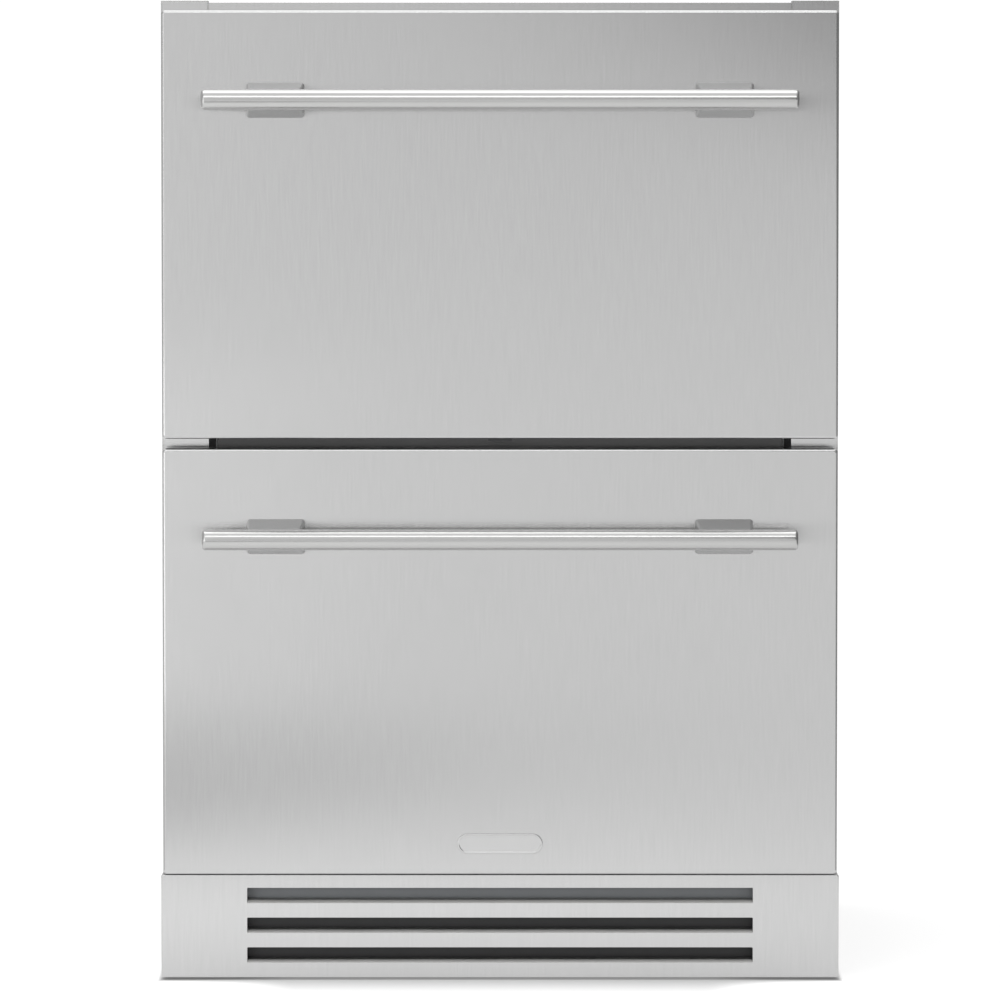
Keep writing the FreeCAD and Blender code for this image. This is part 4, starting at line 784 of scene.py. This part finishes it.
FLAGS = {
    # Dimmer patches with soft edges, which only reflections see.
    # name: (centre, aimed at, (width, height), radiance)
    "flag_high_right": ((0.95, -1.6, 1.0), (0.95, -0.28, 1.0), (2.0, 0.72), 0.12),
    "flag_mid_right": ((0.55, -1.6, 1.14), (0.55, -0.28, 1.14), (1.1, 0.5), 0.30),
    "flag_low_left": ((-0.40, -2.1, 0.02), (-0.40, -2.1, 1.0), (0.42, 2.2), 0.33),
    "flag_side_right": ((1.0, -0.1, 0.7), (0.0, -0.1, 0.7), (2.2, 2.8), 0.22),
    "flag_side_left": ((-1.0, -0.1, 0.7), (0.0, -0.1, 0.7), (2.2, 2.8), 0.6),
}
# The share of a flag's half width and half height where it is at full strength.
FLAG_CORE = 0.3
AIR_GLOW = 1.05
FLOOR_HALF = 30.0
FLOOR_TONE = 0.41
FLOOR_MOTTLE = 0.01
FLOOR_GLOW = 0.52
# Added to the glow where the camera sees the floor: a lift far from the object, and a painted
# shadow near it and under it. The painted shadow runs between two distances from the object's
# foot. It is shorter at the sides, and shrinks towards the corners, between two distances from
# the middle.
FLOOR_SEEN = 0.2
PAINTED_SHADOW_UNDER = -0.48
PAINTED_SHADOW_REACH = (-0.06, 0.13)
SIDE_SHORTER = 30.0
CORNER_RUN = (0.18, 0.31)
CORNER_SHORTER = 9.0
CAMERA_AT = (0.0, -5.798, 0.715)
CAMERA_LENS = 224.1
# What the camera aims at: this high, and this far behind the handles' front.
AIM_HEIGHT = 0.4291
AIM_BEHIND = 59.2 * MM


def stand(name, data, at=(0.0, 0.0, 0.0), aim=None):
    """An object in the scene, with its face or its lens turned to the aim."""
    holder = bpy.data.objects.new(name, data)
    bpy.context.scene.collection.objects.link(holder)
    holder.location = at
    if aim is not None:
        holder.rotation_euler = (Vector(aim) - Vector(at)).to_track_quat("-Z", "Y").to_euler()
    return holder


def flat_card(name, half_wide, half_tall):
    """A mesh of one rectangle, flat on XY."""
    mesh = bpy.data.meshes.new(name)
    corners = [(x * half_wide, y * half_tall, 0) for x, y in ((-1, -1), (1, -1), (1, 1), (-1, 1))]
    mesh.from_pydata(corners, [], [(0, 1, 2, 3)])
    return mesh


def softbox(name, at, aim, size, radiance):
    """A rectangular lamp whose face has the given radiance, whatever its size."""
    light = bpy.data.lights.new(name, "AREA")
    light.shape = "RECTANGLE"
    light.size, light.size_y = size
    light.energy = radiance * math.pi * size[0] * size[1]
    holder = stand(name, light, at, aim)
    holder.visible_camera = False
    holder.visible_glossy = name not in UNSEEN_IN_GLOSS


def flag(name, at, aim, size, radiance):
    """An oval patch of low light with a soft edge, which only reflections see."""
    half_wide, half_tall = size[0] / 2, size[1] / 2
    mesh = flat_card(name, half_wide, half_tall)
    holder = stand(name, mesh, at, aim)
    material, tree = new_material(name)
    where = add(tree, "TexCoord").outputs["Object"]
    oval = add(tree, "Mapping", Vector=where, Scale=(1 / half_wide, 1 / half_tall, 1.0))
    out = add(tree, "VectorMath", {"operation": "LENGTH"}, in0=oval.outputs[0])
    clear = smooth_step(tree, out.outputs["Value"], FLAG_CORE, 1.0)
    gap = add(tree, "BsdfTransparent").outputs[0]
    glow = add(tree, "Emission", Strength=radiance).outputs[0]
    both = add(tree, "MixShader", in0=clear, in1=glow, in2=gap).outputs[0]
    add(tree, "OutputMaterial", Surface=both)
    mesh.materials.append(material)
    for ray in ("camera", "diffuse", "transmission", "volume_scatter", "shadow"):
        setattr(holder, "visible_" + ray, False)


def ramp_of(tree, place, stops):
    """A colour ramp of greys through (place, grey) stops."""
    ramp = add(tree, "ValToRGB", Fac=place)
    elements = ramp.color_ramp.elements
    for i, (where, grey) in enumerate(stops):
        stop = elements[i] if i < 2 else elements.new(where)
        stop.position = where
        stop.color = (grey, grey, grey, 1.0)
    return ramp.outputs["Color"]


def studio_air():
    """Pale air seen by the camera, and a soft dome of light for everything else."""
    world = bpy.data.worlds.new("studio_air")
    bpy.context.scene.world = world
    world.use_nodes = True
    tree = world.node_tree
    tree.nodes.clear()
    way = add(tree, "SeparateXYZ", Vector=add(tree, "TexCoord").outputs["Generated"])
    ahead = maths(tree, "MULTIPLY", way.outputs["Y"], -1.0)
    angle = maths(tree, "ARCTAN2", way.outputs["Z"], ahead)
    place = maths(tree, "DIVIDE", angle, math.pi)
    brightest = max(radiance for _, radiance in DOME)
    arch = ramp_of(tree, place, [(turn / 180, glow / brightest) for turn, glow in DOME])
    across = maths(tree, "ADD", maths(tree, "MULTIPLY", way.outputs["X"], 0.5), 0.5)
    sides = ramp_of(tree, across, DOME_SIDES)
    glow = mix(tree, 1.0, arch, sides, "MULTIPLY")
    dome = add(tree, "Background", Color=glow, Strength=brightest).outputs[0]
    plain = add(tree, "Background", Color=(1, 1, 1, 1), Strength=AIR_GLOW).outputs[0]
    seen = add(tree, "LightPath").outputs["Is Camera Ray"]
    both = add(tree, "MixShader", in0=seen, in1=dome, in2=plain).outputs[0]
    add(tree, "OutputWorld", Surface=both)


def painted_foot_shadow(tree, where):
    """Painted shadow round the object's foot: what the floor's glow gains far off, or loses near
    and under the object, by its distance from the foot.
    """
    x, y = add(tree, "SeparateXYZ", Vector=where).outputs[:2]
    foot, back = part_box("kick_grille")[0], CAD_BOX[1]
    across = maths(tree, "ABSOLUTE", x)
    beside = maths(tree, "SUBTRACT", across, back.x)
    beside = maths(tree, "MULTIPLY", beside, SIDE_SHORTER)
    shorter = smooth_step(tree, across, *CORNER_RUN, 1.0, CORNER_SHORTER)
    ahead = maths(tree, "MULTIPLY", maths(tree, "SUBTRACT", foot.y, y), shorter)
    behind = maths(tree, "MULTIPLY", maths(tree, "SUBTRACT", y, back.y), shorter)
    away = maths(tree, "MAXIMUM", maths(tree, "MAXIMUM", ahead, behind), beside)
    return smooth_step(tree, away, *PAINTED_SHADOW_REACH, PAINTED_SHADOW_UNDER, FLOOR_SEEN)


def studio_floor():
    """Pale floor that glows, so that it meets the pale air without an edge, darkened by a painted
    shadow round the object's foot.
    """
    mesh = flat_card("studio_floor", FLOOR_HALF, FLOOR_HALF)
    floor = stand("studio_floor", mesh)
    material, tree = new_material("pale_floor")
    where = add(tree, "TexCoord").outputs["Object"]
    ends = [FLOOR_TONE * (1 - FLOOR_MOTTLE), FLOOR_TONE * (1 + FLOOR_MOTTLE)]
    darker, paler = [(tone, tone, tone, 1.0) for tone in ends]
    tone = mix(tree, noise(tree, where, scale=3.0, detail=3.0), darker, paler)
    matte = add(tree, "BsdfDiffuse", Color=tone).outputs[0]
    seen = add(tree, "LightPath").outputs["Is Camera Ray"]
    # Where the camera sees the floor, its glow takes the far lift and the painted shadow near the
    # foot.
    change = maths(tree, "MULTIPLY", seen, painted_foot_shadow(tree, where))
    glow = add(tree, "Emission", Strength=maths(tree, "ADD", change, FLOOR_GLOW)).outputs[0]
    both = add(tree, "AddShader", in0=matte, in1=glow).outputs[0]
    add(tree, "OutputMaterial", Surface=both)
    mesh.materials.append(material)


def studio():
    """Plain colour handling, the air, the floor with its painted shadow, the lamps and the dim
    patches.
    """
    scene = bpy.context.scene
    scene.view_settings.view_transform = "Standard"
    scene.view_settings.look = "None"
    scene.cycles.use_denoising = True
    scene.cycles.max_bounces = 8
    studio_air()
    studio_floor()
    for name, setting in SOFTBOXES.items():
        softbox(name, *setting)
    for name, setting in FLAGS.items():
        flag(name, *setting)


def camera():
    """Long lens straight in front of the unit, a little above its middle."""
    data = bpy.data.cameras.new("view_camera")
    data.sensor_width = 36.0
    data.lens = CAMERA_LENS
    data.clip_end = 100.0
    aim = (0.0, CAD_BOX[0].y + AIM_BEHIND, AIM_HEIGHT)
    bpy.context.scene.camera = stand("view_camera", data, CAMERA_AT, aim)


paint_nodes()
for drawer in DRAWERS:
    front_skin(drawer)
    handle_bar(drawer)
    handle_brackets(drawer)
    gasket(drawer)
    bin_rim(drawer)
plaque()
kick_grille()
grille_lips()
intake_screen_and_slot_shade()
mullion()
post_edges()
back_beads()
rating_plate()
studio()
camera()
